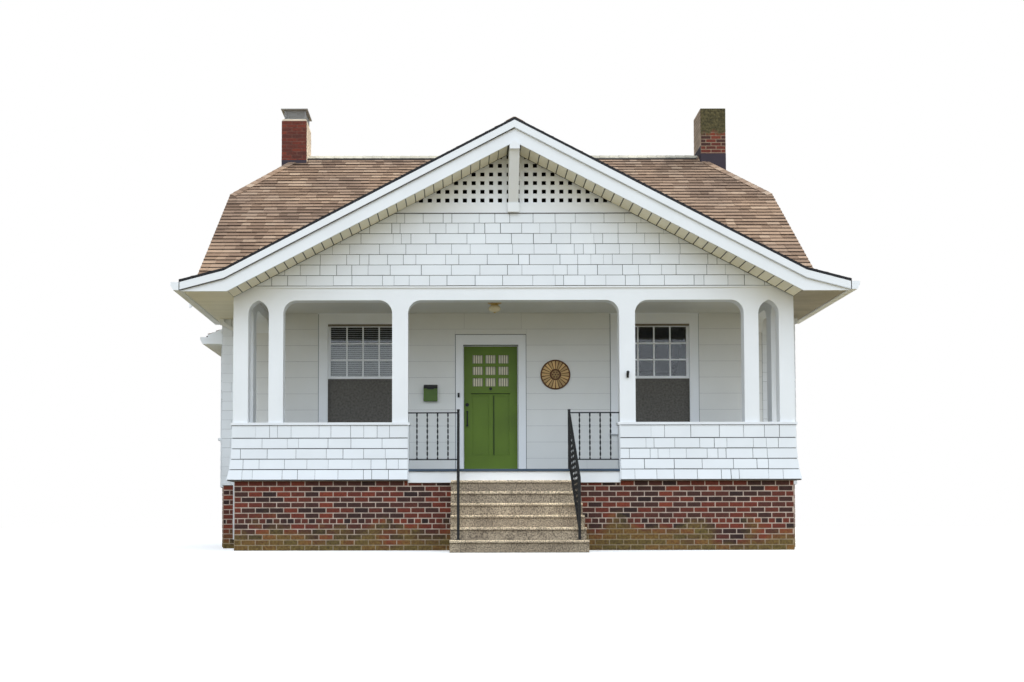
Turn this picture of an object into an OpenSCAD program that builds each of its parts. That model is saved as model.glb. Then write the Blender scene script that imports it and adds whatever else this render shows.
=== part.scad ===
// One-storey bungalow with a full-width arched front porch, in millimetres.
// House axes: X across the front, Y into the house from the porch front, Z up from the lowest ground.
// The origin is then moved to the middle of the footprint, so +Y points to the rear.

/* [House body] */
// Width over the side walls
house_w = 9580; // [8000:10:11500]
// Depth from the door wall to the rear wall
house_l = 11200; // [9500:10:13500]
// Thickness of the framed walls
wall_t = 180; // [120:5:220]
// Height of the brick foundation
foundation_h = 1050; // [850:10:1260]
// Thickness of the brick foundation
foundation_t = 300; // [250:10:380]
// Setback of the brick behind the wall shingles
brick_setback = 25; // [0:5:40]
// Finished floor of the house above the foundation
house_floor_rise = 250; // [200:10:300]

/* [Main roof] */
// Rise per unit of run of the front and rear slopes
main_pitch = 0.6985; // [0.6:0.0005:0.8]
// Front slope's surface above the porch beam, at the door wall
main_eave_rise = 244; // [150:1:400]
// Roof thickness, measured upright
main_roof_t = 160; // [120:5:180]
// Roof beyond the side walls
rake_overhang = 560; // [450:5:650]
// Roof beyond the rear wall
rear_overhang = 500; // [350:10:600]
// Lower edge of the clipped gable ends above the front eave
clip_rise = 2626; // [2300:2:2900]
// How far the clipped end runs in from the rake to the ridge
clip_run = 1150; // [950:10:1300]
// Depth of the trim boards along the main rakes and eaves
main_trim_d = 190; // [150:5:230]
// Thickness of the trim boards
trim_t = 30; // [20:1:40]
// Clearance where boards and walls seat against a sloping roof
seat_gap = 0.1; // [0.05:0.05:0.3]

/* [Porch] */
// Width over the corner columns
porch_w = 8490; // [7600:10:9000]
// Depth from the porch front to the door wall
porch_l = 2100; // [1750:10:2520]
// Thickness of the porch posts, beams and parapets
porch_t = 220; // [180:5:260]
// Porch floor above the foundation
porch_floor_rise = 170; // [140:5:200]
// Parapet above the porch floor
parapet_rise = 710; // [600:10:850]
// Height of the bay openings above the parapet
bay_rise = 1860; // [1550:10:2100]
// Beam above the bay openings
beam_h = 210; // [170:5:260]
// Width of the open centre bay
centre_bay_w = 3200; // [2700:10:3600]
// Width of each wide side bay
wide_bay_w = 1650; // [1400:10:1900]
// Width of the narrow arches beside the corners
arch_w = 310; // [250:5:370]
// Width of the posts beside the centre bay
inner_post_w = 240; // [200:5:290]
// Width of the posts beside the narrow arches
outer_post_w = 220; // [180:5:260]
// Width of the piers on the porch sides
side_pier_w = 300; // [240:5:360]
// Radius at the upper corners of the wide bays
bay_r = 200; // [150:5:200]
// Rise of the narrow arches above their springing
arch_rise = 210; // [160:5:210]
// How far the parapet shingles flare out at the bottom
flare = 70; // [40:5:90]
// Thickness of the sill caps on the parapets
cap_t = 40; // [30:1:50]
// How far the sill caps stand out
cap_lip = 30; // [15:1:40]
// Thickness of the porch floor boards
board_t = 30; // [20:1:40]

/* [Porch roof] */
// Height of the porch ridge above the beam
porch_ridge_rise = 2390; // [2200:10:2600]
// Rise per unit of run of the porch roof
porch_pitch = 0.523; // [0.45:0.001:0.56]
// Roof thickness, measured upright
porch_roof_t = 140; // [110:5:160]
// Shingle layer that laps over the barge boards
shingle_t = 30; // [20:1:40]
// Roof in front of the gable wall
gable_overhang = 620; // [500:10:700]
// Eave beyond the porch sides
porch_eave = 685; // [600:5:740]
// Run of the flared foot of the roof
bell_run = 650; // [500:10:700]
// Rise of the flared foot
bell_rise = 170; // [130:5:200]
// Height from the porch roof's surface down to the boarded underside of its overhangs
soffit_drop = 330; // [310:5:340]
// Depth of the barge boards
barge_d = 350; // [300:5:400]
// Depth of the fascia at the eave
fascia_d = 160; // [140:5:180]
// Depth of the crown strip on the barge boards
crown_d = 110; // [80:5:130]
// Width of the gutters
gutter_w = 130; // [100:5:150]
// Height of the gutters
gutter_h = 120; // [90:5:140]
// Width of the square downspouts
spout_w = 70; // [60:5:80]
// Thickness of the gable wall
gable_wall_t = 150; // [110:5:180]
// Height of the shingled part of the gable above the beam
gable_shingle_h = 1117; // [950:5:1250]
// Height of the plain board under the lattice
gable_board_h = 156; // [120:2:190]
// Pitch of the lattice laths
lath_pitch = 133.5; // [120:0.5:160]
// Width of a lattice lath
lath_w = 70; // [55:1:80]
// Thickness of a lattice lath
lath_t = 12; // [8:1:16]
// Width of the bracket under the gable peak
bracket_w = 150; // [120:5:180]

/* [Steps and rails] */
// Number of risers, with the porch edge as the last
risers = 7; // [6:1:8]
// Depth of a tread
tread_l = 290; // [250:5:320]
// Width of the steps
steps_w = 1900; // [1600:10:2200]
// Extra width of the bottom step on each side
bottom_step_extra = 10; // [0:5:80]
// Lip of each tread
step_lip = 20; // [10:1:30]
// Thickness of the tread lips
step_lip_t = 40; // [30:1:60]
// Height of the porch guards above the floor
guard_h = 870; // [760:10:1000]
// Bottom rail of the guards above the floor
guard_low = 160; // [100:5:200]
// Square of the iron end posts
newel_w = 32; // [25:1:40]
// Square of the balusters
baluster_w = 14; // [12:1:20]
// Pitch of the balusters
baluster_pitch = 160; // [120:5:180]

/* [Doors and windows] */
// Middle of the front door from the porch centre line
door_x = -300; // [-500:5:-100]
// Width of the doorway
door_w = 920; // [840:5:1000]
// Height of the doorway
door_h = 2095; // [1980:5:2150]
// Thickness of the door leaf
leaf_t = 45; // [38:1:60]
// Clearance round the door leaf
leaf_gap = 7; // [7:1:9]
// Width of the flat casings
casing_w = 125; // [90:5:140]
// How far the casings stand out of the wall
casing_t = 25; // [18:1:32]
// Middle of each porch window from the centre line
window_x = 2440; // [2300:5:2700]
// Width of the window openings
window_w = 1220; // [1000:10:1350]
// Height of the window openings
window_h = 1840; // [1500:10:1900]
// Window sills above the house floor
window_sill_rise = 630; // [550:10:900]
// Width of the sash rails
sash_w = 45; // [30:1:60]
// Thickness of the glass
glass_t = 6; // [4:1:8]

/* [Chimneys] */
// Width of the chimneys across the house
chimney_w = 520; // [400:5:600]
// Depth of the chimneys
chimney_l = 800; // [650:5:900]
// Brick top of the left chimney above the ridge
left_chimney_rise = 690; // [500:10:900]
// Brick top of the right chimney above the ridge
right_chimney_rise = 940; // [500:10:1100]
// Outer face of the left chimney from the centre line
left_chimney_x = 4540; // [4400:5:4600]
// Outer face of the right chimney from the centre line
right_chimney_x = 4750; // [4400:5:4760]
// Height of the wire cap on the left chimney
chimney_cap_h = 260; // [200:5:320]

/* [Side bay] */
// Front end of the bay on the left wall, from the door wall
bay_start = 1300; // [1000:10:1600]
// Length of the bay
bay_l = 3000; // [2600:10:3400]
// How far the bay stands out
bay_out = 250; // [180:5:300]

/* [Hidden] */
$fn = 48;
// Overshoot of a cut, and a length past every face
eps = 1;
far = 20000;

// Levels
spout_z = 150;
floor_z = foundation_h + house_floor_rise;
porch_z = foundation_h + porch_floor_rise;
apron_z = foundation_h - 30;
parapet_z = porch_z + parapet_rise;
bay_top_z = parapet_z + bay_rise;
beam_z = bay_top_z + beam_h;
ceiling_t = 30;
ceiling_z = beam_z - 70;
spring_z = bay_top_z - max(bay_r, arch_rise);
sill_z = floor_z + window_sill_rise;

// Plan lines
door_wall_y = porch_l;
rear_wall_y = porch_l + house_l;
inner_x = house_w / 2 - wall_t;
steps_l = (risers - 1) * tread_l;
rear_eave_y = rear_wall_y + rear_overhang;
centre_y = (rear_eave_y + gutter_w - steps_l) / 2;

// Main roof
rake_x = house_w / 2 + rake_overhang;
main_eave_z = beam_z + main_eave_rise;
clip_z = main_eave_z + clip_rise;
ridge_y = (door_wall_y + rear_wall_y) / 2;
ridge_z = main_eave_z + main_pitch * (ridge_y - door_wall_y);
clip_y = ridge_y - (ridge_z - clip_z) / main_pitch;
rear_clip_y = 2 * ridge_y - clip_y;
ridge_half = rake_x - clip_run;
clip_pitch = (ridge_z - clip_z) / clip_run;
function main_z(y) = ridge_z - main_pitch * abs(y - ridge_y);

// Porch roof
porch_ridge_z = beam_z + porch_ridge_rise;
porch_eave_x = porch_w / 2 + porch_eave;
bell_x = porch_eave_x - bell_run;
bell_z = porch_ridge_z - porch_pitch * bell_x;
eave_z = bell_z - bell_rise;
level_z = eave_z - fascia_d + barge_d;
level_x = (porch_ridge_z - level_z) / porch_pitch;
soffit_t = 15;
deck_front_y = -gable_overhang + trim_t;
crown_t = 35;
crown_y = -gable_overhang - crown_t;
eave_return = porch_eave_x - trim_t < house_w / 2 ? 0 : 600;
eave_back_y = door_wall_y + eave_return;
board_z = beam_z + gable_shingle_h;
ledge_t = 25;
ledge_half = min(porch_w / 2, (porch_ridge_z - soffit_drop - beam_z) / porch_pitch) - 10;
lattice_z = board_z + gable_board_h;
function gable_half(z) = (porch_ridge_z - porch_roof_t - seat_gap - z) / porch_pitch;
function roof_line(drop) = [[0, porch_ridge_z - drop], [bell_x, bell_z - drop],
    [porch_eave_x, eave_z - drop]];
function under_line(drop) = [[0, porch_ridge_z - drop], [level_x, level_z - drop],
    [porch_eave_x, level_z - drop]];
function reversed(points) = [for (i = [len(points) - 1 : -1 : 0]) points[i]];

// Half widths of the porch front, from the centre out, and along its sides
post_a = centre_bay_w / 2;
post_b = post_a + inner_post_w;
post_c = post_b + wide_bay_w;
post_d = post_c + outer_post_w;
post_e = post_d + arch_w;
post_f = porch_w / 2;
pier_a = porch_t + arch_w;
pier_b = pier_a + side_pier_w;

// Flared parapets, as steps down from the sill cap
skirt_top_z = parapet_z - cap_t;
skirt_ts = [for (i = [0 : 6]) i / 6];
function flare_at(t) = flare * pow(t, 3);
function skirt_at(t) = skirt_top_z - t * (skirt_top_z - foundation_h);

// Bay on the left wall
bay_y = [door_wall_y + bay_start, door_wall_y + bay_start + bay_l];
bay_wall_t = 150;
bay_inside_y = [bay_y[0] + bay_wall_t, bay_y[1] - bay_wall_t];
bay_face_x = -house_w / 2 - bay_out;
bay_ceiling_z = beam_z - 450;
bay_eave_x = bay_face_x - 180;
bay_eave_z = bay_ceiling_z + 120;
bay_head_z = bay_ceiling_z + 290;
bay_roof_t = 30;
bay_lip = 30;
bay_roof_y = [bay_y[0] - 360, bay_y[1] + 360];

// Windows
jamb_t = 25;
head_extra = 25;
upper_y = 40;
lower_y = 75;
sash_t = 35;
bay_window_h = bay_ceiling_z - sill_z - casing_w - head_extra;
left_window_ys = [for (t = [0.66, 0.87]) door_wall_y + t * house_l];
right_window_ys = [for (t = [0.16, 0.36, 0.66, 0.87]) door_wall_y + t * house_l];
rear_window_xs = [for (t = [-0.3, 0, 0.3]) t * house_w];
bay_window_ys = [for (t = [0.27, 0.73]) door_wall_y + bay_start + t * bay_l];

// Front door, flush with the inner face of its wall
inner_y = door_wall_y + wall_t;
door_left = door_x - door_w / 2;
door_right = door_x + door_w / 2;
door_top_z = floor_z + door_h;
leaf_y = inner_y - leaf_t;
leaf_x = [door_left + leaf_gap, door_right - leaf_gap];
leaf_z = [floor_z + leaf_gap, door_top_z - leaf_gap];
stile_w = 140;
mullion_w = 50;
panel_depth = 12;
panel_z = [leaf_z[0] + 240, leaf_z[0] + 1255];
lite_w = 175;
lite_h = 140;
lite_pitch_x = 216;
lite_pitch_z = 194;
lites_top_z = leaf_z[1] - 148;
lock_x = leaf_x[0] + 60;
lock_z = floor_z + 1100;
hinge_r = 8;
pin_r = 4;
pin_gap = 0.08;
hinge_h = 100;
hinge_leaf = [45, 3];
hinge_zs = [for (z = [200, 1000, 1800]) floor_z + z];

// Chimneys
left_chimney_at = [-left_chimney_x, -left_chimney_x + chimney_w];
right_chimney_at = [right_chimney_x - chimney_w, right_chimney_x];
chimney_y = [ridge_y - 0.38 * chimney_l, ridge_y + 0.62 * chimney_l];
flue_in = 120;
flue_h = 900;
left_chimney_z = ridge_z + left_chimney_rise;
right_chimney_z = ridge_z + right_chimney_rise;

// Rails
newel_x = 840;
guard_y = porch_t / 2;
rail_t = 12;
guard_z = porch_z + guard_h;
first_tread_z = porch_z / risers;
foot_y = -steps_l + 150;
stair_pitch = (porch_z - first_tread_z) / (guard_y - foot_y);

module place() translate([0, -centre_y, 0]) children();
module block(x, y, z)
    translate([x[0], y[0], z[0]]) cube([x[1] - x[0], y[1] - y[0], z[1] - z[0]]);
module both_sides() { children(); mirror([1, 0, 0]) children(); }
module along_x(x0, x1) translate([x0, 0, 0]) rotate([90, 0, 90]) linear_extrude(x1 - x0) children();
module along_y(y0, y1) translate([0, y1, 0]) rotate([90, 0, 0]) linear_extrude(y1 - y0) children();
module on_front(x, z) translate([x, door_wall_y, z]) children();
module on_rear(x, z) translate([x, rear_wall_y, z]) rotate([0, 0, 180]) children();
module on_left(y, z) translate([-house_w / 2, y, z]) rotate([0, 0, -90]) children();
module on_right(y, z) translate([house_w / 2, y, z]) rotate([0, 0, 90]) children();
module on_bay(y, z) translate([bay_face_x, y, z]) rotate([0, 0, -90]) children();

// Everything under the main roof's surface, lowered by drop and longer by grow at its ends
module main_envelope(drop, grow) {
    front_y = door_wall_y - grow;
    back_y = rear_eave_y + grow;
    side_x = rake_x + grow;
    side_z = ridge_z - clip_pitch * (side_x - ridge_half);
    intersection() {
        along_x(-far, far) polygon([[front_y, -eps], [back_y, -eps], [back_y, main_z(back_y) - drop],
            [ridge_y, ridge_z - drop], [front_y, main_z(front_y) - drop]]);
        along_y(-far, far) polygon([[-side_x, -eps], [side_x, -eps], [side_x, side_z - drop],
            [ridge_half, ridge_z - drop], [-ridge_half, ridge_z - drop], [-side_x, side_z - drop]]);
    }
}
module under_main_roof() intersection() {
    main_envelope(main_roof_t + seat_gap, 300);
    children();
}
module main_roof() difference() {
    main_envelope(0, 0);
    main_envelope(main_roof_t, 300);
    intersection() {
        main_envelope(shingle_t, 300);
        union() {
            both_sides() block([rake_x - trim_t, far], [-far, far], [0, far]);
            block([-far, far], [rear_eave_y - trim_t, far], [0, far]);
        }
    }
    chimney_shafts();
}

// Brick foundation
module foundation_cross_walls() color("firebrick") place() {
    porch_half = post_f - brick_setback;
    house_half = house_w / 2 - foundation_t;
    block([-porch_half, porch_half], [brick_setback, foundation_t], [0, foundation_h]);
    block([-house_half, house_half], [door_wall_y + brick_setback, door_wall_y + foundation_t],
        [0, foundation_h]);
    block([-house_half, house_half], [rear_wall_y - foundation_t, rear_wall_y - brick_setback],
        [0, foundation_h]);
}
module foundation_side_walls() color("firebrick") place() both_sides() {
    block([post_f - foundation_t, post_f - brick_setback], [foundation_t, door_wall_y + brick_setback],
        [0, foundation_h]);
    difference() {
        block([house_w / 2 - foundation_t, house_w / 2 - brick_setback],
            [door_wall_y + brick_setback, rear_wall_y - brick_setback], [0, foundation_h]);
        both_sides() chimney_shafts();
    }
}

// Floors, and the white board under the edge of the porch floor
module porch_floor() color("slategray") place() {
    block([-post_f + porch_t, post_f - porch_t], [porch_t, door_wall_y], [foundation_h, porch_z]);
    block([-post_a, post_a], [0, porch_t], [foundation_h, porch_z]);
    block([-post_a, post_a], [-trim_t - 20, 0], [porch_z - board_t, porch_z]);
}
module porch_apron() color("white") place()
    block([-post_a, post_a], [-trim_t, 0], [apron_z, porch_z - board_t]);
module house_floor() color("tan") place() difference() {
    block([-inner_x, inner_x], [inner_y, rear_wall_y - wall_t], [foundation_h, floor_z]);
    chimney_shafts();
}

// Concrete steps with a small lip on each tread
module porch_steps() color("darkkhaki") place() for (i = [1 : risers - 1]) {
    half = steps_w / 2 + (i == 1 ? bottom_step_extra : 0);
    front = -(risers - i) * tread_l;
    top = i * first_tread_z;
    block([-half, half], [front + step_lip, brick_setback], [0, min(top, apron_z)]);
    block([-half, half], [front, -trim_t], [top - step_lip_t, top]);
}

// Walls
module window_hole(h, depth) block([-window_w / 2, window_w / 2], [-eps, depth + eps], [0, h]);
module front_wall(x0, x1) under_main_roof() difference() {
    block([x0, x1], [door_wall_y, inner_y], [foundation_h, far]);
    both_sides() on_front(window_x, sill_z) window_hole(window_h, wall_t);
}
module front_wall_left() color("white") place() front_wall(-inner_x, door_left);
module front_wall_right() color("white") place() front_wall(door_right, inner_x);
module front_wall_at_door() color("white") place() {
    block([door_left, door_right], [door_wall_y, inner_y], [foundation_h, floor_z - board_t]);
    under_main_roof() block([door_left, door_right], [door_wall_y, inner_y], [door_top_z, far]);
}
module side_wall() block([inner_x, house_w / 2], [door_wall_y, rear_wall_y], [foundation_h, far]);
module left_wall() color("white") place() under_main_roof() difference() {
    mirror([1, 0, 0]) side_wall();
    for (y = left_window_ys) on_left(y, sill_z) window_hole(window_h, wall_t);
    block([-house_w, 0], bay_inside_y, [floor_z, bay_ceiling_z]);
}
module right_wall() color("white") place() under_main_roof() difference() {
    side_wall();
    for (y = right_window_ys) on_right(y, sill_z) window_hole(window_h, wall_t);
    chimney_shafts();
}
module rear_wall() color("white") place() under_main_roof() difference() {
    block([-inner_x, inner_x], [rear_wall_y - wall_t, rear_wall_y], [foundation_h, far]);
    for (x = rear_window_xs) on_rear(x, sill_z) window_hole(window_h, wall_t);
}

// Shallow bay on the left wall, with its own foundation, small roof and boxed eave
module bay_wall() color("white") place() difference() {
    block([bay_face_x, -house_w / 2], bay_y, [foundation_h, bay_ceiling_z]);
    block([bay_face_x + bay_wall_t, 0], bay_inside_y, [0, far]);
    for (y = bay_window_ys) on_bay(y, sill_z) window_hole(bay_window_h, bay_wall_t);
}
module bay_base() color("firebrick") place() {
    block([bay_face_x + brick_setback, -house_w / 2 + brick_setback],
        [bay_y[0] + brick_setback, bay_y[1] - brick_setback], [0, foundation_h]);
    block([bay_face_x + bay_wall_t, -house_w / 2], bay_inside_y, [foundation_h, floor_z]);
}
module bay_eave() color("white") place() {
    rake_t = bay_roof_t + 10;
    along_y(bay_roof_y[0] + trim_t, bay_roof_y[1] - trim_t)
        polygon([[-house_w / 2, bay_ceiling_z], [bay_eave_x, bay_ceiling_z], [bay_eave_x, bay_eave_z],
            [-house_w / 2, bay_head_z]]);
    for (y = [bay_roof_y[0], bay_roof_y[1] - trim_t])
        along_y(y, y + trim_t)
            polygon([[-house_w / 2, bay_ceiling_z], [bay_eave_x, bay_ceiling_z],
                [bay_eave_x, bay_eave_z + rake_t], [-house_w / 2, bay_head_z + rake_t]]);
}
module bay_roof() color("sienna") place() along_y(bay_roof_y[0] + trim_t, bay_roof_y[1] - trim_t)
    polygon([[-house_w / 2, bay_head_z], [bay_eave_x, bay_eave_z], [bay_eave_x - bay_lip, bay_eave_z],
        [bay_eave_x - bay_lip, bay_eave_z + bay_roof_t - 10], [-house_w / 2, bay_head_z + bay_roof_t]]);

// Parapets whose shingles flare out at the bottom, with flat sill caps
module skirt_block() intersection() {
    along_x(-far, far) polygon(concat([[door_wall_y, skirt_top_z]],
        [for (t = skirt_ts) [-flare_at(t), skirt_at(t)]], [[door_wall_y, foundation_h]]));
    along_y(-far, far) polygon(concat(
        [for (t = skirt_ts) [-post_f - flare_at(t), skirt_at(t)]],
        [for (t = reversed(skirt_ts)) [post_f + flare_at(t), skirt_at(t)]]));
}
module front_parapets() color("white") place() intersection() {
    skirt_block();
    both_sides() block([post_a, far], [-far, porch_t], [0, far]);
}
module side_parapets() color("white") place() intersection() {
    skirt_block();
    both_sides() block([post_f - porch_t, far], [porch_t, far], [0, far]);
}
module front_sills() color("white") place() both_sides()
    block([post_a - cap_lip, post_f + cap_lip], [-cap_lip, porch_t + cap_lip], [skirt_top_z, parapet_z]);
module side_sills() color("white") place() both_sides()
    block([post_f - porch_t - cap_lip, post_f + cap_lip], [porch_t + cap_lip, door_wall_y],
        [skirt_top_z, parapet_z]);

// Posts and piers, and the beams with rounded and arched openings on them
module porch_posts() color("white") place() both_sides() {
    for (x = [[post_a, post_b], [post_c, post_d], [post_e, post_f]])
        block(x, [0, porch_t], [parapet_z, spring_z]);
    block([post_f - porch_t, post_f], [pier_a, pier_b], [parapet_z, spring_z]);
}
module through_beam(x, z, r) translate([x, -eps, z]) rotate([-90, 0, 0])
    cylinder(r = r, h = porch_t + 2 * eps);
module bay_cut(x0, x1) {
    y = [-eps, porch_t + eps];
    block([x0, x1], y, [spring_z - eps, bay_top_z - bay_r]);
    block([x0 + bay_r, x1 - bay_r], y, [spring_z - eps, bay_top_z]);
    for (x = [x0 + bay_r, x1 - bay_r]) through_beam(x, bay_top_z - bay_r, bay_r);
}
module arch_cut(x0) {
    y = [-eps, porch_t + eps];
    arc_z = bay_top_z - arch_rise;
    arc_r = (pow(arch_w / 2, 2) + pow(arch_rise, 2)) / arch_w;
    block([x0, x0 + arch_w], y, [spring_z - eps, arc_z + eps]);
    intersection() {
        block([x0, x0 + arch_w], y, [arc_z, bay_top_z + eps]);
        through_beam(x0 + arc_r, arc_z, arc_r);
        through_beam(x0 + arch_w - arc_r, arc_z, arc_r);
    }
}
module porch_beam() color("white") place() {
    difference() {
        block([-post_f, post_f], [0, porch_t], [spring_z, beam_z]);
        bay_cut(-post_a, post_a);
        both_sides() {
            bay_cut(post_b, post_c);
            arch_cut(post_d);
        }
    }
    block([-ledge_half, ledge_half], [-ledge_t, 0], [beam_z - ledge_t, beam_z]);
}
module side_beams() color("white") place() both_sides() difference() {
    block([post_f - porch_t, post_f], [porch_t, door_wall_y], [spring_z, beam_z]);
    translate([post_f, 0, 0]) rotate([0, 0, 90]) {
        arch_cut(porch_t);
        bay_cut(pier_b, door_wall_y);
    }
}
module porch_ceiling() color("ivory") place()
    block([-post_f + porch_t, post_f - porch_t], [porch_t, door_wall_y], [ceiling_z, ceiling_z + ceiling_t]);

// Porch gable: shingled wall, plain board, lattice and the bracket under the peak
module gable_slice(z0, z1, y0, y1, drop = 0) {
    half = [gable_half(z0 + drop), gable_half(z1 + drop)];
    along_y(y0, y1) polygon([[-half[0], z0], [half[0], z0], [half[1], z1], [-half[1], z1]]);
}
module gable_wall() color("white") place() intersection() {
    gable_slice(beam_z, board_z, 0, gable_wall_t);
    block([-post_f, post_f], [0, porch_l], [beam_z, far]);
}
module gable_board() color("white") place() {
    gable_slice(board_z, lattice_z, 0, gable_wall_t);
    gable_slice(board_z, lattice_z, -trim_t, 0, soffit_drop - porch_roof_t);
}
module gable_lattice() color("white") place() intersection() {
    gable_slice(lattice_z, porch_ridge_z - porch_roof_t - seat_gap, 0, 2 * lath_t);
    lath_count = ceil(gable_half(lattice_z) / lath_pitch);
    first_z = lattice_z + 12 - lath_w;
    union() {
        for (i = [-lath_count : lath_count])
            block([i * lath_pitch - lath_w / 2, i * lath_pitch + lath_w / 2], [0, lath_t], [lattice_z, far]);
        for (j = [0 : lath_count])
            block([-far, far], [0, 2 * lath_t],
                [first_z + j * lath_pitch, first_z + j * lath_pitch + lath_w]);
    }
}
module gable_bracket() color("white") place() {
    half = bracket_w / 2;
    top = porch_ridge_z - porch_roof_t - porch_pitch * half;
    leg = 90;
    block_h = 140;
    arm_z = porch_ridge_z - soffit_drop - 130;
    nose_z = porch_ridge_z - barge_d - porch_pitch * half - 10;
    nose_y = -gable_overhang - trim_t;
    along_x(-half, half) {
        polygon([[-leg, board_z], [-trim_t, board_z], [-trim_t, lattice_z], [0, lattice_z], [0, top],
            [-leg, top]]);
        polygon([[deck_front_y, arm_z], [0, arm_z], [0, top], [deck_front_y, top]]);
        polygon([[-leg, board_z + block_h], [-leg, board_z + 2 * block_h], [deck_front_y + block_h, arm_z],
            [deck_front_y, arm_z]]);
        polygon([[nose_y, arm_z], [deck_front_y, arm_z], [deck_front_y, nose_z], [nose_y, nose_z]]);
    }
    along_y(nose_y, -gable_overhang - seat_gap) polygon([[-half, nose_z], [half, nose_z], [0, nose_z + half]]);
    block([-half - 12, half + 12], [-leg - 15, -trim_t], [board_z, board_z + block_h]);
}

// Porch roof: straight slopes with a flared foot, and all that follows that line
module roof_band(top, bottom, x0, x1) intersection() {
    polygon(concat(roof_line(top), reversed(roof_line(bottom))));
    translate([x0, 0]) square([x1 - x0, far]);
}
module boxed_band(top, bottom, x0, x1) intersection() {
    polygon(concat(roof_line(top), reversed(under_line(bottom))));
    translate([x0, 0]) square([x1 - x0, far]);
}
module porch_roof() {
    deck_x = porch_eave_x - trim_t;
    difference() {
        union() {
            along_y(deck_front_y, ridge_y) roof_band(0, porch_roof_t, 0, deck_x);
            along_y(crown_y, ridge_y) roof_band(0, shingle_t, 0, porch_eave_x);
        }
        main_envelope(0, 0);
    }
    if (eave_return > 0) along_y(door_wall_y, eave_back_y) {
        roof_band(0, porch_roof_t, house_w / 2, deck_x);
        roof_band(0, shingle_t, house_w / 2, porch_eave_x);
    }
}
module porch_roof_right() color("sienna") place() porch_roof();
module porch_roof_left() color("sienna") place() mirror([1, 0, 0]) porch_roof();
module barge() {
    top = shingle_t + seat_gap;
    along_y(-gable_overhang, deck_front_y) boxed_band(top, barge_d, 0, porch_eave_x);
    along_y(crown_y, -gable_overhang) roof_band(top, shingle_t + crown_d, 0, porch_eave_x);
}
module barge_right() color("white") place() barge();
module barge_left() color("white") place() mirror([1, 0, 0]) barge();
module porch_soffits() color("ivory") place() both_sides() intersection() {
    along_y(deck_front_y, eave_back_y) intersection() {
        roof_band(porch_roof_t + seat_gap, far / 2, bracket_w / 2, porch_eave_x - trim_t);
        polygon(concat(under_line(soffit_drop - soffit_t), reversed(under_line(soffit_drop))));
    }
    union() {
        block([0, far], [-far, 0], [0, far]);
        block([post_f, far], [-far, door_wall_y], [0, far]);
        block([house_w / 2, far], [-far, far], [0, far]);
    }
}
module eave_fascias() color("white") place() {
    rear_z = main_z(rear_eave_y) - shingle_t - seat_gap;
    front_z = main_eave_z - shingle_t - seat_gap;
    both_sides() {
        along_y(deck_front_y, eave_back_y)
            boxed_band(shingle_t + seat_gap, barge_d, porch_eave_x - trim_t, porch_eave_x);
        block([house_w / 2, rake_x - trim_t], [door_wall_y - trim_t, door_wall_y],
            [main_eave_z - main_roof_t - trim_t, front_z]);
    }
    block([-rake_x + trim_t, rake_x - trim_t], [rear_eave_y - trim_t, rear_eave_y],
        [rear_z - main_trim_d, rear_z]);
}

// Gutters: open troughs with closed ends
module gutter_outline(inset) polygon([[inset, inset], [0.7 * gutter_w - inset, inset],
    [gutter_w - inset, 0.6 * gutter_h], [gutter_w - inset, gutter_h + inset], [inset, gutter_h + inset]]);
module gutter(y0, y1) {
    wall = 4;
    difference() {
        along_y(y0, y1) gutter_outline(0);
        along_y(y0 + wall, y1 - wall) gutter_outline(wall);
    }
}
module gutters() color("white") place() {
    both_sides() translate([porch_eave_x, 0, eave_z - shingle_t - gutter_h]) gutter(crown_y, eave_back_y);
    mirror([1, 0, 0]) translate([-bay_eave_x, 0, bay_eave_z - gutter_h])
        gutter(bay_roof_y[0], bay_roof_y[1]);
    translate([0, rear_eave_y, main_z(rear_eave_y) - shingle_t - gutter_h]) rotate([0, 0, 90])
        gutter(-rake_x + trim_t, rake_x - trim_t);
}

// Downspouts: from the eaves over to the strip of wall beside the porch, with straps
module downspout() {
    outlet_z = level_z - soffit_drop;
    x = [post_f + 270, post_f + 270 + spout_w];
    outlet_x = [x[0] + 240, x[1] + 240];
    strap_t = 10;
    along_y(door_wall_y - spout_w, door_wall_y - strap_t) polygon([
        [outlet_x[0], outlet_z], [outlet_x[0], outlet_z - 60], [x[1], outlet_z - 170], [x[0], outlet_z - 240],
        [x[0], spout_z], [x[1], spout_z], [x[1], outlet_z - 230], [outlet_x[1], outlet_z - 100],
        [outlet_x[1], outlet_z]]);
    for (z = [parapet_z, bay_top_z - 200])
        block([x[0] - 20, x[1] + 20], [door_wall_y - strap_t, door_wall_y], [z, z + 30]);
}
module downspouts() color("white") place() both_sides() downspout();

// Main roof with clipped gable ends
module plan_area(points) intersection() { main_roof(); linear_extrude(far) polygon(points); }
module main_roof_front() color("sienna") place() plan_area([[-rake_x, door_wall_y], [rake_x, door_wall_y],
    [rake_x, clip_y], [ridge_half, ridge_y], [-ridge_half, ridge_y], [-rake_x, clip_y]]);
module main_roof_rear() color("sienna") place() plan_area([[-rake_x, rear_eave_y], [rake_x, rear_eave_y],
    [rake_x, rear_clip_y], [ridge_half, ridge_y], [-ridge_half, ridge_y], [-rake_x, rear_clip_y]]);
module main_roof_clips() color("sienna") place() {
    plan_area([[-rake_x, clip_y], [-rake_x, rear_clip_y], [-ridge_half, ridge_y]]);
    plan_area([[rake_x, clip_y], [rake_x, rear_clip_y], [ridge_half, ridge_y]]);
}
function rake_line(drop) = [[door_wall_y, main_eave_z - drop], [clip_y, clip_z - drop],
    [rear_clip_y, clip_z - drop], [rear_eave_y, main_z(rear_eave_y) - drop]];
module main_rake_boards() color("white") place() both_sides() along_x(rake_x - trim_t, rake_x)
    polygon(concat(rake_line(shingle_t + seat_gap), reversed(rake_line(shingle_t + main_trim_d))));
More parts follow.
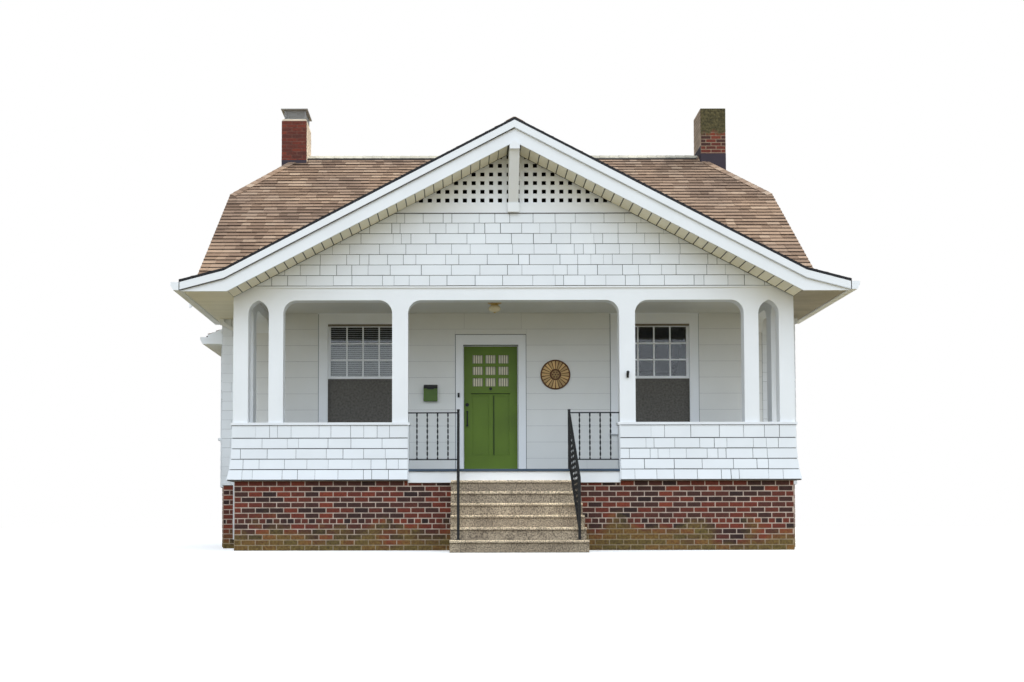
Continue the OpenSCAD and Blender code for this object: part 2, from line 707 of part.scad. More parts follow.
module main_ridge_cap() color("tan") place() difference() {
    run = 150;
    thick = 20;
    drop = run * main_pitch;
    along_x(-ridge_half, ridge_half) polygon([[ridge_y, ridge_z + thick],
        [ridge_y + run, ridge_z + thick - drop], [ridge_y + run, ridge_z - drop], [ridge_y, ridge_z],
        [ridge_y - run, ridge_z - drop], [ridge_y - run, ridge_z + thick - drop]]);
    chimney_shafts();
}

// Chimneys, from the ground through the roof
module chimney_shafts() {
    block(left_chimney_at, chimney_y, [0, far]);
    block(right_chimney_at, chimney_y, [0, far]);
}
module chimney(x, top) difference() {
    block(x, chimney_y, [0, top]);
    block([x[0] + flue_in, x[1] - flue_in], [chimney_y[0] + flue_in, chimney_y[1] - flue_in],
        [top - flue_h, far]);
}
module left_chimney() color("firebrick") place() chimney(left_chimney_at, left_chimney_z);
module right_chimney() color("firebrick") place() chimney(right_chimney_at, right_chimney_z);
module chimney_cap() color("dimgray") place() {
    lid_z = left_chimney_z + chimney_cap_h - 20;
    mesh_t = 12;
    difference() {
        block(left_chimney_at, chimney_y, [left_chimney_z, lid_z]);
        block([left_chimney_at[0] + mesh_t, left_chimney_at[1] - mesh_t],
            [chimney_y[0] + mesh_t, chimney_y[1] - mesh_t], [left_chimney_z - eps, lid_z + eps]);
    }
    block([left_chimney_at[0] - 20, left_chimney_at[1] + 20], [chimney_y[0] - 20, chimney_y[1] + 20],
        [lid_z, lid_z + 20]);
}

// Double-hung windows: the upper sash outside the lower one, a screen over the lower half
module ring(x, y, z, edge) difference() {
    block(x, y, z);
    block([x[0] + edge, x[1] - edge], [y[0] - eps, y[1] + eps], [z[0] + edge, z[1] - edge]);
}
jamb_x = [-window_w / 2 + jamb_t, window_w / 2 - jamb_t];
function upper_z(h) = [h / 2 - sash_w / 2, h - jamb_t];
function lower_z(h) = [jamb_t, h / 2 + sash_w / 2];
module window_frame(h, depth) {
    half = window_w / 2 + casing_w;
    difference() {
        block([-half, half], [-casing_t, 0], [0, h + casing_w + head_extra]);
        block(jamb_x, [-casing_t - eps, eps], [jamb_t, h - jamb_t]);
    }
    block([-half - 20, half + 20], [-casing_t - 40, 0], [-45, 0]);
    ring([-window_w / 2, window_w / 2], [0, depth], [0, h], jamb_t);
    ring(jamb_x, [upper_y, upper_y + sash_t], upper_z(h), sash_w);
    ring(jamb_x, [lower_y, lower_y + sash_t], lower_z(h), sash_w);
}
module pane(y, z) block([jamb_x[0] + sash_w, jamb_x[1] - sash_w],
    [y + (sash_t - glass_t) / 2, y + (sash_t + glass_t) / 2], [z[0] + sash_w, z[1] - sash_w]);
module window_panes(h) {
    pane(upper_y, upper_z(h));
    pane(lower_y, lower_z(h));
}
module window_screen(h) {
    z = [jamb_t, h / 2 - sash_w / 2];
    ring(jamb_x, [upper_y - 20, upper_y], z, 25);
    block([jamb_x[0] + 25, jamb_x[1] - 25], [upper_y - 11, upper_y - 9], [z[0] + 25, z[1] - 25]);
}
module at_windows() {
    for (x = [-window_x, window_x]) on_front(x, sill_z) children(0);
    for (y = left_window_ys) on_left(y, sill_z) children(0);
    for (y = right_window_ys) on_right(y, sill_z) children(0);
    for (x = rear_window_xs) on_rear(x, sill_z) children(0);
    for (y = bay_window_ys) on_bay(y, sill_z) children(1);
}
module window_frames() color("white") place() at_windows() {
    window_frame(window_h, wall_t);
    window_frame(bay_window_h, bay_wall_t);
}
module window_glass() color("lightblue", 0.4) place() at_windows() {
    window_panes(window_h);
    window_panes(bay_window_h);
}
module window_screens() color("dimgray") place() at_windows() {
    window_screen(window_h);
    window_screen(bay_window_h);
}

// Front door: casing with stops and threshold, panelled leaf, hinges and fittings
module door_frame() color("white") place() {
    head_z = door_top_z + casing_w + 40;
    stop = 12;
    difference() {
        block([door_left - casing_w, door_right + casing_w], [door_wall_y - casing_t, door_wall_y],
            [porch_z, head_z]);
        block([door_left, door_right], [0, far], [0, door_top_z]);
    }
    difference() {
        block([door_left, door_right], [leaf_y - 2 * leaf_gap - stop, leaf_y - leaf_gap],
            [floor_z, door_top_z]);
        block([door_left + stop, door_right - stop], [0, far], [0, door_top_z - stop]);
    }
    block([door_left, door_right], [door_wall_y - casing_t - 15, inner_y], [floor_z - board_t, floor_z]);
}
module lites(y0, y1) for (i = [-1 : 1]) for (j = [0 : 2]) {
    x = door_x + i * lite_pitch_x;
    z = lites_top_z - j * lite_pitch_z;
    block([x - lite_w / 2, x + lite_w / 2], [y0, y1], [z - lite_h, z]);
}
module front_door() color("olivedrab") place() difference() {
    block(leaf_x, [leaf_y, inner_y], leaf_z);
    lites(leaf_y - eps, inner_y + eps);
    for (side = [-1, 1]) {
        near = door_x + side * mullion_w / 2;
        edge = door_x + side * (leaf_x[1] - door_x - stile_w);
        block([min(near, edge), max(near, edge)], [leaf_y - eps, leaf_y + panel_depth], panel_z);
    }
}
module door_glass() color("lightblue", 0.4) place() lites(leaf_y + 20, leaf_y + 20 + glass_t);
module out_of_leaf(x, z, r, h) translate([x, leaf_y, z]) rotate([90, 0, 0]) cylinder(r = r, h = h);
module door_hardware() color("black") place() {
    grip = 230;
    out_of_leaf(lock_x, lock_z, 30, 14);
    for (z = [lock_z - 120, lock_z - 120 - grip]) out_of_leaf(lock_x, z, 16, 52);
    translate([lock_x, leaf_y - 46, lock_z - 130 - grip]) cylinder(r = 9, h = grip + 20);
    out_of_leaf(door_x, lites_top_z - 3 * lite_pitch_z + 12, 24, 22);
    translate([lock_x, inner_y, lock_z - 120]) rotate([-90, 0, 0]) cylinder(r = 26, h = 50);
}
module hinge_knuckle(i) translate([door_right, inner_y + hinge_r, i * hinge_h / 3])
    cylinder(r = hinge_r, h = hinge_h / 3 - 0.3);
module door_hinges() color("dimgray") place() for (z = hinge_zs) translate([0, 0, z]) difference() {
    union() {
        hinge_knuckle(1);
        block([door_right - hinge_leaf[0], door_right], [inner_y, inner_y + hinge_leaf[1]],
            [hinge_h / 3, 2 * hinge_h / 3 - 0.3]);
    }
    translate([door_right, inner_y + hinge_r, 0]) cylinder(r = pin_r + pin_gap, h = hinge_h);
}
module hinge_pins() color("dimgray") place() for (z = hinge_zs) translate([0, 0, z]) {
    translate([door_right, inner_y + hinge_r, 0]) cylinder(r = pin_r, h = hinge_h - 0.3);
    for (i = [0, 2]) {
        hinge_knuckle(i);
        block([door_right, door_right + hinge_leaf[0]], [inner_y, inner_y + hinge_leaf[1]],
            [i * hinge_h / 3, (i + 1) * hinge_h / 3 - 0.3]);
    }
}

// Iron guards beside the steps, and the sloping stair rails
module newel(y, z0, z1) block([newel_x - newel_w / 2, newel_x + newel_w / 2],
    [y - newel_w / 2, y + newel_w / 2], [z0, z1]);
module baluster(x, y, z0, z1) block([x - baluster_w / 2, x + baluster_w / 2],
    [y - baluster_w / 2, y + baluster_w / 2], [z0, z1]);
module guard_rails() color("black") place() both_sides() {
    newel(guard_y, porch_z, guard_z + 45);
    for (z = [guard_z, porch_z + guard_low])
        block([newel_x, post_a], [guard_y - rail_t, guard_y + rail_t], [z - rail_t, z]);
    for (x = [newel_x + baluster_pitch : baluster_pitch : post_a - baluster_pitch / 2])
        baluster(x, guard_y, porch_z + guard_low - rail_t / 2, guard_z - rail_t / 2);
}
function stair_z(y, rise) = first_tread_z + rise + stair_pitch * (y - foot_y);
module stair_rails() color("black") place() both_sides() {
    top_y = guard_y - newel_w / 2;
    newel(foot_y, first_tread_z, first_tread_z + guard_h);
    for (rise = [guard_h, guard_low]) along_x(newel_x - rail_t, newel_x + rail_t)
        polygon([[foot_y, stair_z(foot_y, rise) - rail_t], [top_y, stair_z(top_y, rise) - rail_t],
            [top_y, stair_z(top_y, rise)], [foot_y, stair_z(foot_y, rise)]]);
    for (y = [foot_y + baluster_pitch : baluster_pitch : top_y - baluster_pitch / 2])
        baluster(newel_x, y, stair_z(y, guard_low - rail_t / 2), stair_z(y, guard_h - rail_t / 2));
}

// Fittings on the porch
module mailbox() color("darkgreen") place() along_x(-1420, -1190)
    polygon([[door_wall_y, 2445], [door_wall_y - 95, 2445], [door_wall_y - 95, 2660],
        [door_wall_y - 110, 2660], [door_wall_y - 105, 2680], [door_wall_y, 2730]]);
module door_bell() color("black") place()
    block([-855, -820], [door_wall_y - casing_t - 15, door_wall_y - casing_t], [2510, 2585]);
module porch_light() color("goldenrod") place() translate([door_x + 40, porch_l / 2, ceiling_z])
    rotate_extrude() polygon([[0, 0], [115, 0], [115, -20], [70, -35], [95, -60], [100, -110], [70, -155],
        [20, -170], [0, -170]]);
module wall_ornament() color("goldenrod") place() translate([780, door_wall_y, 2890]) rotate([90, 0, 0]) {
    cylinder(r = 240, h = 25);
    rotate_extrude() translate([242, 16]) circle(r = 16);
    for (i = [0 : 17]) rotate(i * 20) translate([70, -9, 0]) cube([165, 18, 34]);
    cylinder(r = 60, h = 38);
}

foundation_cross_walls();
foundation_side_walls();
porch_floor();
porch_apron();
porch_steps();
house_floor();
front_wall_left();
front_wall_right();
front_wall_at_door();
left_wall();
right_wall();
rear_wall();
front_parapets();
side_parapets();
front_sills();
side_sills();
porch_posts();
porch_beam();
side_beams();
porch_ceiling();
gable_wall();
gable_board();
gable_lattice();
gable_bracket();
porch_roof_left();
porch_roof_right();
barge_left();
barge_right();
porch_soffits();
eave_fascias();
gutters();
downspouts();
main_roof_front();
main_roof_rear();
main_roof_clips();
main_rake_boards();
main_ridge_cap();
left_chimney();
right_chimney();
chimney_cap();
bay_wall();
bay_base();
bay_roof();
bay_eave();
window_frames();
window_glass();
window_screens();
door_frame();
front_door();
door_glass();
door_hardware();
door_hinges();
hinge_pins();
guard_rails();
stair_rails();
mailbox();
door_bell();
porch_light();
wall_ornament();
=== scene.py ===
import math
import random

import bmesh
import bpy
from mathutils import Matrix, Vector


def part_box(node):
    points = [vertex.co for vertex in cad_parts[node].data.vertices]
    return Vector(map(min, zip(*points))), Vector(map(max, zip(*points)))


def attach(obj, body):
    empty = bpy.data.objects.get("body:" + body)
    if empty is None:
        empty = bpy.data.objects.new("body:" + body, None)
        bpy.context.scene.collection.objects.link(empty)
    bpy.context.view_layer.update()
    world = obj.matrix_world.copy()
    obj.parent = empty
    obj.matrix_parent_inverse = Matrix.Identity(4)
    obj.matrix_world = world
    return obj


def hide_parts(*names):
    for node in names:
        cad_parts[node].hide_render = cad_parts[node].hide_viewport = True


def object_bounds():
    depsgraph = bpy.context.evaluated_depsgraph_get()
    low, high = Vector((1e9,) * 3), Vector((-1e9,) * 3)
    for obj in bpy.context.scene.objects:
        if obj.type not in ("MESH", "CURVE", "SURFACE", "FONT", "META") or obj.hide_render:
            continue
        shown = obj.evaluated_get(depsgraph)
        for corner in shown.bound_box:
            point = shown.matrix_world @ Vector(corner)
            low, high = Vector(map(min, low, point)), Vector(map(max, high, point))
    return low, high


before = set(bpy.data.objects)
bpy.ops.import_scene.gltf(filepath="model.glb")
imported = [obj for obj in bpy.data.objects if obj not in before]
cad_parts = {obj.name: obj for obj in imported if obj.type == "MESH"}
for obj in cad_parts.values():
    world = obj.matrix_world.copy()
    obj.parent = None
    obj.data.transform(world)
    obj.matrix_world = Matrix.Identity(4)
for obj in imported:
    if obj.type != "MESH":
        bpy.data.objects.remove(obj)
cadLow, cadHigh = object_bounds()
sides = (("right", 1), ("left", -1))  # each with the sign of its x

# planes and edges of the house that many pieces line up with, in metres
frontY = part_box("porch_beam")[0].y
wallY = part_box("front_wall_left")[0].y
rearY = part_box("rear_wall")[1].y
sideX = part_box("right_wall")[1].x
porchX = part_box("porch_beam")[1].x
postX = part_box("porch_apron")[1].x
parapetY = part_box("front_parapets")[1].y
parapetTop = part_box("front_parapets")[1].z
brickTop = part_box("front_parapets")[0].z
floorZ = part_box("porch_floor")[1].z
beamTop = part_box("porch_beam")[1].z
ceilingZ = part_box("porch_ceiling")[0].z
bayLow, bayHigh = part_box("bay_wall")
risers = 7  # of the front steps
sillZ = 1.93  # bottom of the window openings
porchWindowX = 2.44  # middles of the porch windows, to either side

# main roof: rise per metre, thickness and the corners of its planes
roofPitch = 0.6985
roofDeck = 0.16
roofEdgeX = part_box("main_roof_front")[1].x
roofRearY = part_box("main_roof_rear")[1].y
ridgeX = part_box("main_ridge_cap")[1].x
ridgeY = (wallY + rearY) / 2
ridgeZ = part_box("main_roof_front")[1].z
eaveZ = ridgeZ - roofPitch * (ridgeY - wallY)
clipZ = eaveZ + 2.626  # low edge of the clipped ends
clipRun = (ridgeZ - clipZ) / roofPitch
hipIn, hipRise = roofEdgeX - ridgeX, ridgeZ - clipZ
hipSlope = math.hypot(hipIn, hipRise)
hipClips = [((-clipRun, 0), (-hipSlope, clipRun)), ((clipRun, 0), (hipSlope, clipRun))]

# porch roof: each slope ends in a flatter foot, and meets the main roof in a valley
porchPitch = 0.523
footRun, footRise = 0.65, 0.17
soffitDrop = 0.33  # from the roof's planes to the boards under them
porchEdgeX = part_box("porch_roof_right")[1].x
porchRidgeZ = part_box("porch_roof_right")[1].z
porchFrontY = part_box("porch_roof_right")[0].y
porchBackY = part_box("porch_soffits")[1].y
bellX = porchEdgeX - footRun
bellZ = porchRidgeZ - porchPitch * bellX
footZ = bellZ - footRise
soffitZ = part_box("barge_left")[0].z + 0.35 - soffitDrop
soffitX = (porchRidgeZ - soffitDrop - soffitZ) / porchPitch
valleyX = (porchRidgeZ - eaveZ) / porchPitch
valleyY = wallY + (porchRidgeZ - eaveZ) / roofPitch


def slopeOf(pitch):
    # level and upward part of one metre along a slope
    angle = math.atan(pitch)
    return math.cos(angle), math.sin(angle)


def span(sign, a, b):
    return sorted((sign * a, sign * b))


# camera and light

def makeCamera():
    settings = {"place": (-0.802, -25.947, 0.376), "focal": 46.335, "sensor": 36, "pitch": 2.65, "roll": 0.1,
                "shiftX": 0.0498, "shiftY": 0.1205, "far": 300}
    data = bpy.data.cameras.new("camera")
    data.lens = settings["focal"]
    data.sensor_width = settings["sensor"]
    data.shift_x, data.shift_y = settings["shiftX"], settings["shiftY"]
    data.clip_end = settings["far"]
    camera = bpy.data.objects.new("camera", data)
    camera.location = settings["place"]
    camera.rotation_euler = (math.radians(90 + settings["pitch"]), math.radians(settings["roll"]), 0)
    bpy.context.scene.collection.objects.link(camera)
    bpy.context.scene.camera = camera


def makeWorld():
    settings = {"sky": 1.15, "skyColor": (0.85, 0.92, 1.0), "mirrored": 0.35, "backdrop": (1.0, 1.0, 1.0)}
    world = bpy.data.worlds.new("studio")
    bpy.context.scene.world = world
    world.use_nodes = True
    tree = world.node_tree
    tree.nodes.clear()
    path = tree.nodes.new("ShaderNodeLightPath")
    light = tree.nodes.new("ShaderNodeBackground")
    light.inputs["Color"].default_value = (*settings["skyColor"], 1)
    dim = tree.nodes.new("ShaderNodeMapRange")  # weaker sky in reflections
    dim.inputs["To Min"].default_value = settings["sky"]
    dim.inputs["To Max"].default_value = settings["mirrored"]
    tree.links.new(path.outputs["Is Glossy Ray"], dim.inputs["Value"])
    tree.links.new(dim.outputs["Result"], light.inputs["Strength"])
    seen = tree.nodes.new("ShaderNodeBackground")  # what the camera and the glass show
    seen.inputs["Color"].default_value = (*settings["backdrop"], 1)
    either = tree.nodes.new("ShaderNodeMath")
    either.operation = "MAXIMUM"
    tree.links.new(path.outputs["Is Camera Ray"], either.inputs[0])
    tree.links.new(path.outputs["Is Transmission Ray"], either.inputs[1])
    blend = tree.nodes.new("ShaderNodeMixShader")
    for source, socket in zip((either, light, seen), blend.inputs):
        tree.links.new(source.outputs[0], socket)
    out = tree.nodes.new("ShaderNodeOutputWorld")
    tree.links.new(blend.outputs[0], out.inputs[0])


def makeLamps():
    lamps = {"sun": {"power": 2.6, "color": (1.0, 0.93, 0.82), "angle": 6, "turn": (38, 0, 118)},
             "brightCloud": {"power": 1.15, "color": (0.8, 0.89, 1.0), "angle": 60, "turn": (57, 0, 0)}}
    for name, look in lamps.items():
        data = bpy.data.lights.new(name, "SUN")
        data.energy = look["power"]
        data.color = look["color"]
        data.angle = math.radians(look["angle"])
        lamp = bpy.data.objects.new(name, data)
        lamp.rotation_euler = [math.radians(a) for a in look["turn"]]
        bpy.context.scene.collection.objects.link(lamp)
    bpy.context.scene.view_settings.view_transform = "Standard"


# material helpers

def newMaterial(name, color, roughness=0.6, metallic=0.0, specular=0.5):
    material = bpy.data.materials.new(name)
    material.use_nodes = True
    shader = material.node_tree.nodes["Principled BSDF"]
    shader.inputs["Base Color"].default_value = (*color, 1)
    shader.inputs["Roughness"].default_value = roughness
    shader.inputs["Metallic"].default_value = metallic
    shader.inputs["Specular IOR Level"].default_value = specular
    return material


def addNode(material, kind, **values):
    node = material.node_tree.nodes.new(kind)
    for key, value in values.items():
        if key in node.inputs:
            node.inputs[key].default_value = value
        else:
            setattr(node, key, value)
    return node


def feed(material, socket, value):
    # joins another node's output to a socket, or sets a colour or number on it
    if isinstance(value, bpy.types.NodeSocket):
        material.node_tree.links.new(value, socket)
    else:
        socket.default_value = (*value, 1) if isinstance(value, tuple) else value


def toShader(material, name, value):
    feed(material, material.node_tree.nodes["Principled BSDF"].inputs[name], value)


def objectPoint(material, scale=(1, 1, 1)):
    mapping = addNode(material, "ShaderNodeMapping")
    mapping.inputs["Scale"].default_value = scale
    feed(material, mapping.inputs["Vector"], addNode(material, "ShaderNodeTexCoord").outputs["Object"])
    return mapping.outputs["Vector"]


def heightOf(material, point):
    parts = addNode(material, "ShaderNodeSeparateXYZ")
    feed(material, parts.inputs[0], point)
    return parts.outputs["Z"]


def mathOf(material, operation, *values):
    node = addNode(material, "ShaderNodeMath", operation=operation)
    for socket, value in zip(node.inputs, values):
        feed(material, socket, value)
    return node.outputs[0]


def noiseOf(material, point, scale, detail):
    noise = addNode(material, "ShaderNodeTexNoise", Scale=scale, Detail=detail, Roughness=0.55)
    feed(material, noise.inputs["Vector"], point)
    return noise.outputs["Fac"]


def shadeOf(material):
    return addNode(material, "ShaderNodeAttribute", attribute_name="shade").outputs["Fac"]


def rampOf(material, value, stops):
    ramp = addNode(material, "ShaderNodeValToRGB")
    elements = ramp.color_ramp.elements
    while len(elements) < len(stops):
        elements.new(0.5)
    for element, (place, color) in zip(elements, stops):
        element.position = place
        element.color = (*color, 1)
    feed(material, ramp.inputs["Fac"], value)
    return ramp.outputs["Color"]


def patchesOf(material, point, scale, detail, stops):
    return rampOf(material, noiseOf(material, point, scale, detail), stops)


def mixOf(material, amount, first, second, mode="MIX"):
    mix = addNode(material, "ShaderNodeMix", data_type="RGBA", blend_type=mode)
    for index, value in ((0, amount), (6, first), (7, second)):  # the colour mix's own sockets
        feed(material, mix.inputs[index], value)
    return mix.outputs[2]


def multiply(material, tone, factor):
    return mixOf(material, 1.0, tone, factor, "MULTIPLY")


def roughen(material, point, scale, detail, strength, distance):
    bump = addNode(material, "ShaderNodeBump", Strength=strength, Distance=distance)
    feed(material, bump.inputs["Height"], noiseOf(material, point, scale, detail))
    toShader(material, "Normal", bump.outputs["Normal"])


# materials

def paintMaterial(name, color, dirt, roughness=0.5, grain=(6, 6, 60), perPiece=0.0):
    # dirt darkens soft patches, grain draws out fine streaks, perPiece sets single shingles and boards apart
    material = newMaterial(name, color, roughness, specular=0.35)
    dirty = tuple(c * (1 - dirt) for c in color)
    tone = patchesOf(material, objectPoint(material), 1.6, 5, [(0.3, dirty), (0.62, color)])
    if perPiece:
        bright = rampOf(material, shadeOf(material), [(0.0, (1 - perPiece,) * 3), (1.0, (1.0, 1.0, 1.0))])
        tone = multiply(material, tone, bright)
    toShader(material, "Base Color", tone)
    roughen(material, objectPoint(material, grain), 4, 3, 0.25, 0.002)
    return material


mosses = {
    "chimney": {"rise": 3.0, "start": -25.7, "patches": (7, 1.0), "edge": 0.25, "most": 1.0,
                "colors": ((0.04, 0.034, 0.012), (0.14, 0.115, 0.045))},
    "wall": {"rise": -1.9, "start": 0.0, "patches": (2.2, 2.4), "edge": 0.55, "most": 0.6,
             "colors": ((0.11, 0.075, 0.015), (0.32, 0.23, 0.05))},
}


def mossOver(material, point, tone, place):
    # patchy growth whose edge lies at one height
    look = mosses[place]
    size, strength = look["patches"]
    height = mathOf(material, "MULTIPLY_ADD", heightOf(material, point), look["rise"], look["start"])
    ragged = mathOf(material, "MULTIPLY_ADD", noiseOf(material, point, size, 5), strength, height)
    amount = rampOf(material, ragged, [(0.4, (0, 0, 0)), (0.4 + look["edge"], (look["most"],) * 3)])
    growth = patchesOf(material, point, 28, 5, list(zip((0.35, 0.7), look["colors"])))
    return mixOf(material, amount, tone, growth)


def brickMaterial(name, moss=None):
    material = newMaterial(name, (0.3, 0.12, 0.08), 0.85)
    point = objectPoint(material)
    tone = rampOf(material, shadeOf(material), [(0.0, (0.03, 0.016, 0.016)), (0.35, (0.085, 0.03, 0.022)),
                                               (0.7, (0.175, 0.033, 0.018)), (1.0, (0.31, 0.062, 0.026))])
    tone = multiply(material, tone, patchesOf(material, point, 45, 4, [(0.3, (0.6, 0.6, 0.6)),
                                                                       (0.7, (1.15, 1.1, 1.05))]))
    if moss:
        tone = mossOver(material, point, tone, moss)
    toShader(material, "Base Color", tone)
    roughen(material, point, 70, 5, 0.5, 0.004)
    return material


def mortarMaterial(name, dark, light, moss=None):
    material = newMaterial(name, light, 0.9)
    point = objectPoint(material)
    tone = patchesOf(material, point, 9, 6, [(0.3, dark), (0.7, light)])
    if moss:
        tone = mossOver(material, point, tone, moss)
    toShader(material, "Base Color", tone)
    roughen(material, point, 120, 3, 0.5, 0.003)
    return material


def roofMaterial():
    material = newMaterial("roofShingle", (0.2, 0.14, 0.1), 0.9, specular=0.25)
    point = objectPoint(material)
    # the first stop, near black, colours the butt faces of the tabs: painted shade under each row
    tone = rampOf(material, shadeOf(material), [(0.0, (0.02, 0.014, 0.011)), (0.3, (0.2, 0.13, 0.088)),
                                               (0.7, (0.34, 0.235, 0.165)), (1.0, (0.5, 0.39, 0.29))])
    granules = patchesOf(material, point, 160, 2, [(0.35, (0.7, 0.7, 0.7)), (0.65, (1.25, 1.22, 1.2))])
    weather = patchesOf(material, point, 0.9, 5, [(0.35, (0.78, 0.78, 0.8)), (0.65, (1.12, 1.1, 1.06))])
    toShader(material, "Base Color", multiply(material, multiply(material, tone, granules), weather))
    roughen(material, point, 220, 2, 0.6, 0.002)
    return material


def concreteMaterial():
    material = newMaterial("concrete", (0.42, 0.37, 0.3), 0.85)
    point = objectPoint(material)
    base = patchesOf(material, point, 3, 6, [(0.3, (0.36, 0.3, 0.23)), (0.65, (0.56, 0.48, 0.37))])
    specks = patchesOf(material, point, 60, 3, [(0.4, (0.42, 0.4, 0.38)), (0.6, (1.25, 1.22, 1.15))])
    steps = mathOf(material, "MULTIPLY", heightOf(material, point), risers / floorZ)
    share = mathOf(material, "FRACT", steps)  # of one riser, dark under its lip and pale on it
    # the dark band under each riser's lip is painted shade; the pale band on the lip is wear
    worn = rampOf(material, share, [(0.7, (0.8, 0.78, 0.76)), (0.78, (0.55, 0.52, 0.5)),
                                    (0.83, (1.1, 1.08, 1.05)), (0.97, (2.0, 1.95, 1.85))])
    toShader(material, "Base Color", multiply(material, multiply(material, base, specks), worn))
    roughen(material, point, 90, 4, 0.5, 0.003)
    return material


def floorPaintMaterial():
    material = newMaterial("porchFloorPaint", (0.2, 0.26, 0.34), 0.4)
    point = objectPoint(material)
    wear = patchesOf(material, point, 5, 6, [(0.35, (0.2, 0.25, 0.32)), (0.7, (0.3, 0.35, 0.4))])
    boards = addNode(material, "ShaderNodeTexWave", wave_type="BANDS", bands_direction="X", Scale=2.2)
    feed(material, boards.inputs["Vector"], point)
    line = rampOf(material, boards.outputs["Fac"], [(0.0, (0.35, 0.35, 0.35)), (0.06, (1, 1, 1))])
    toShader(material, "Base Color", multiply(material, wear, line))
    return material


def woodFloorMaterial():
    material = newMaterial("oiledBoards", (0.3, 0.18, 0.1), 0.4)
    grain = objectPoint(material, (18, 1.2, 1))
    toShader(material, "Base Color",
             patchesOf(material, grain, 3, 5, [(0.3, (0.2, 0.11, 0.06)), (0.7, (0.38, 0.24, 0.14))]))
    return material


def ironMaterial(name, color, roughness):
    material = newMaterial(name, color, roughness)
    point = objectPoint(material)
    worn = tuple(2.2 * c for c in color)
    toShader(material, "Base Color", patchesOf(material, point, 30, 4, [(0.3, color), (0.75, worn)]))
    roughen(material, point, 160, 3, 0.3, 0.001)
    return material


def metalMaterial(name, color, roughness):
    material = newMaterial(name, color, roughness, metallic=1.0)
    dull = tuple(0.6 * c for c in color)
    toShader(material, "Base Color",
             patchesOf(material, objectPoint(material), 25, 4, [(0.3, dull), (0.7, color)]))
    return material


def glassMaterial():
    material = newMaterial("windowGlass", (0.66, 0.68, 0.68), 0.02)
    toShader(material, "Transmission Weight", 1.0)
    toShader(material, "IOR", 1.45)
    return material


def floorMaterial():
    settings = {"seen": (0.86, 0.86, 0.86), "glow": 0.3, "bounce": (0.25, 0.22, 0.14)}
    material = newMaterial("studioFloor", settings["seen"], 0.9, specular=0.0)
    seen = addNode(material, "ShaderNodeLightPath").outputs["Is Camera Ray"]
    toShader(material, "Base Color", mixOf(material, seen, settings["bounce"], settings["seen"]))
    toShader(material, "Emission Strength", mathOf(material, "MULTIPLY", seen, settings["glow"]))
    toShader(material, "Emission Color", (1, 1, 1))
    return material


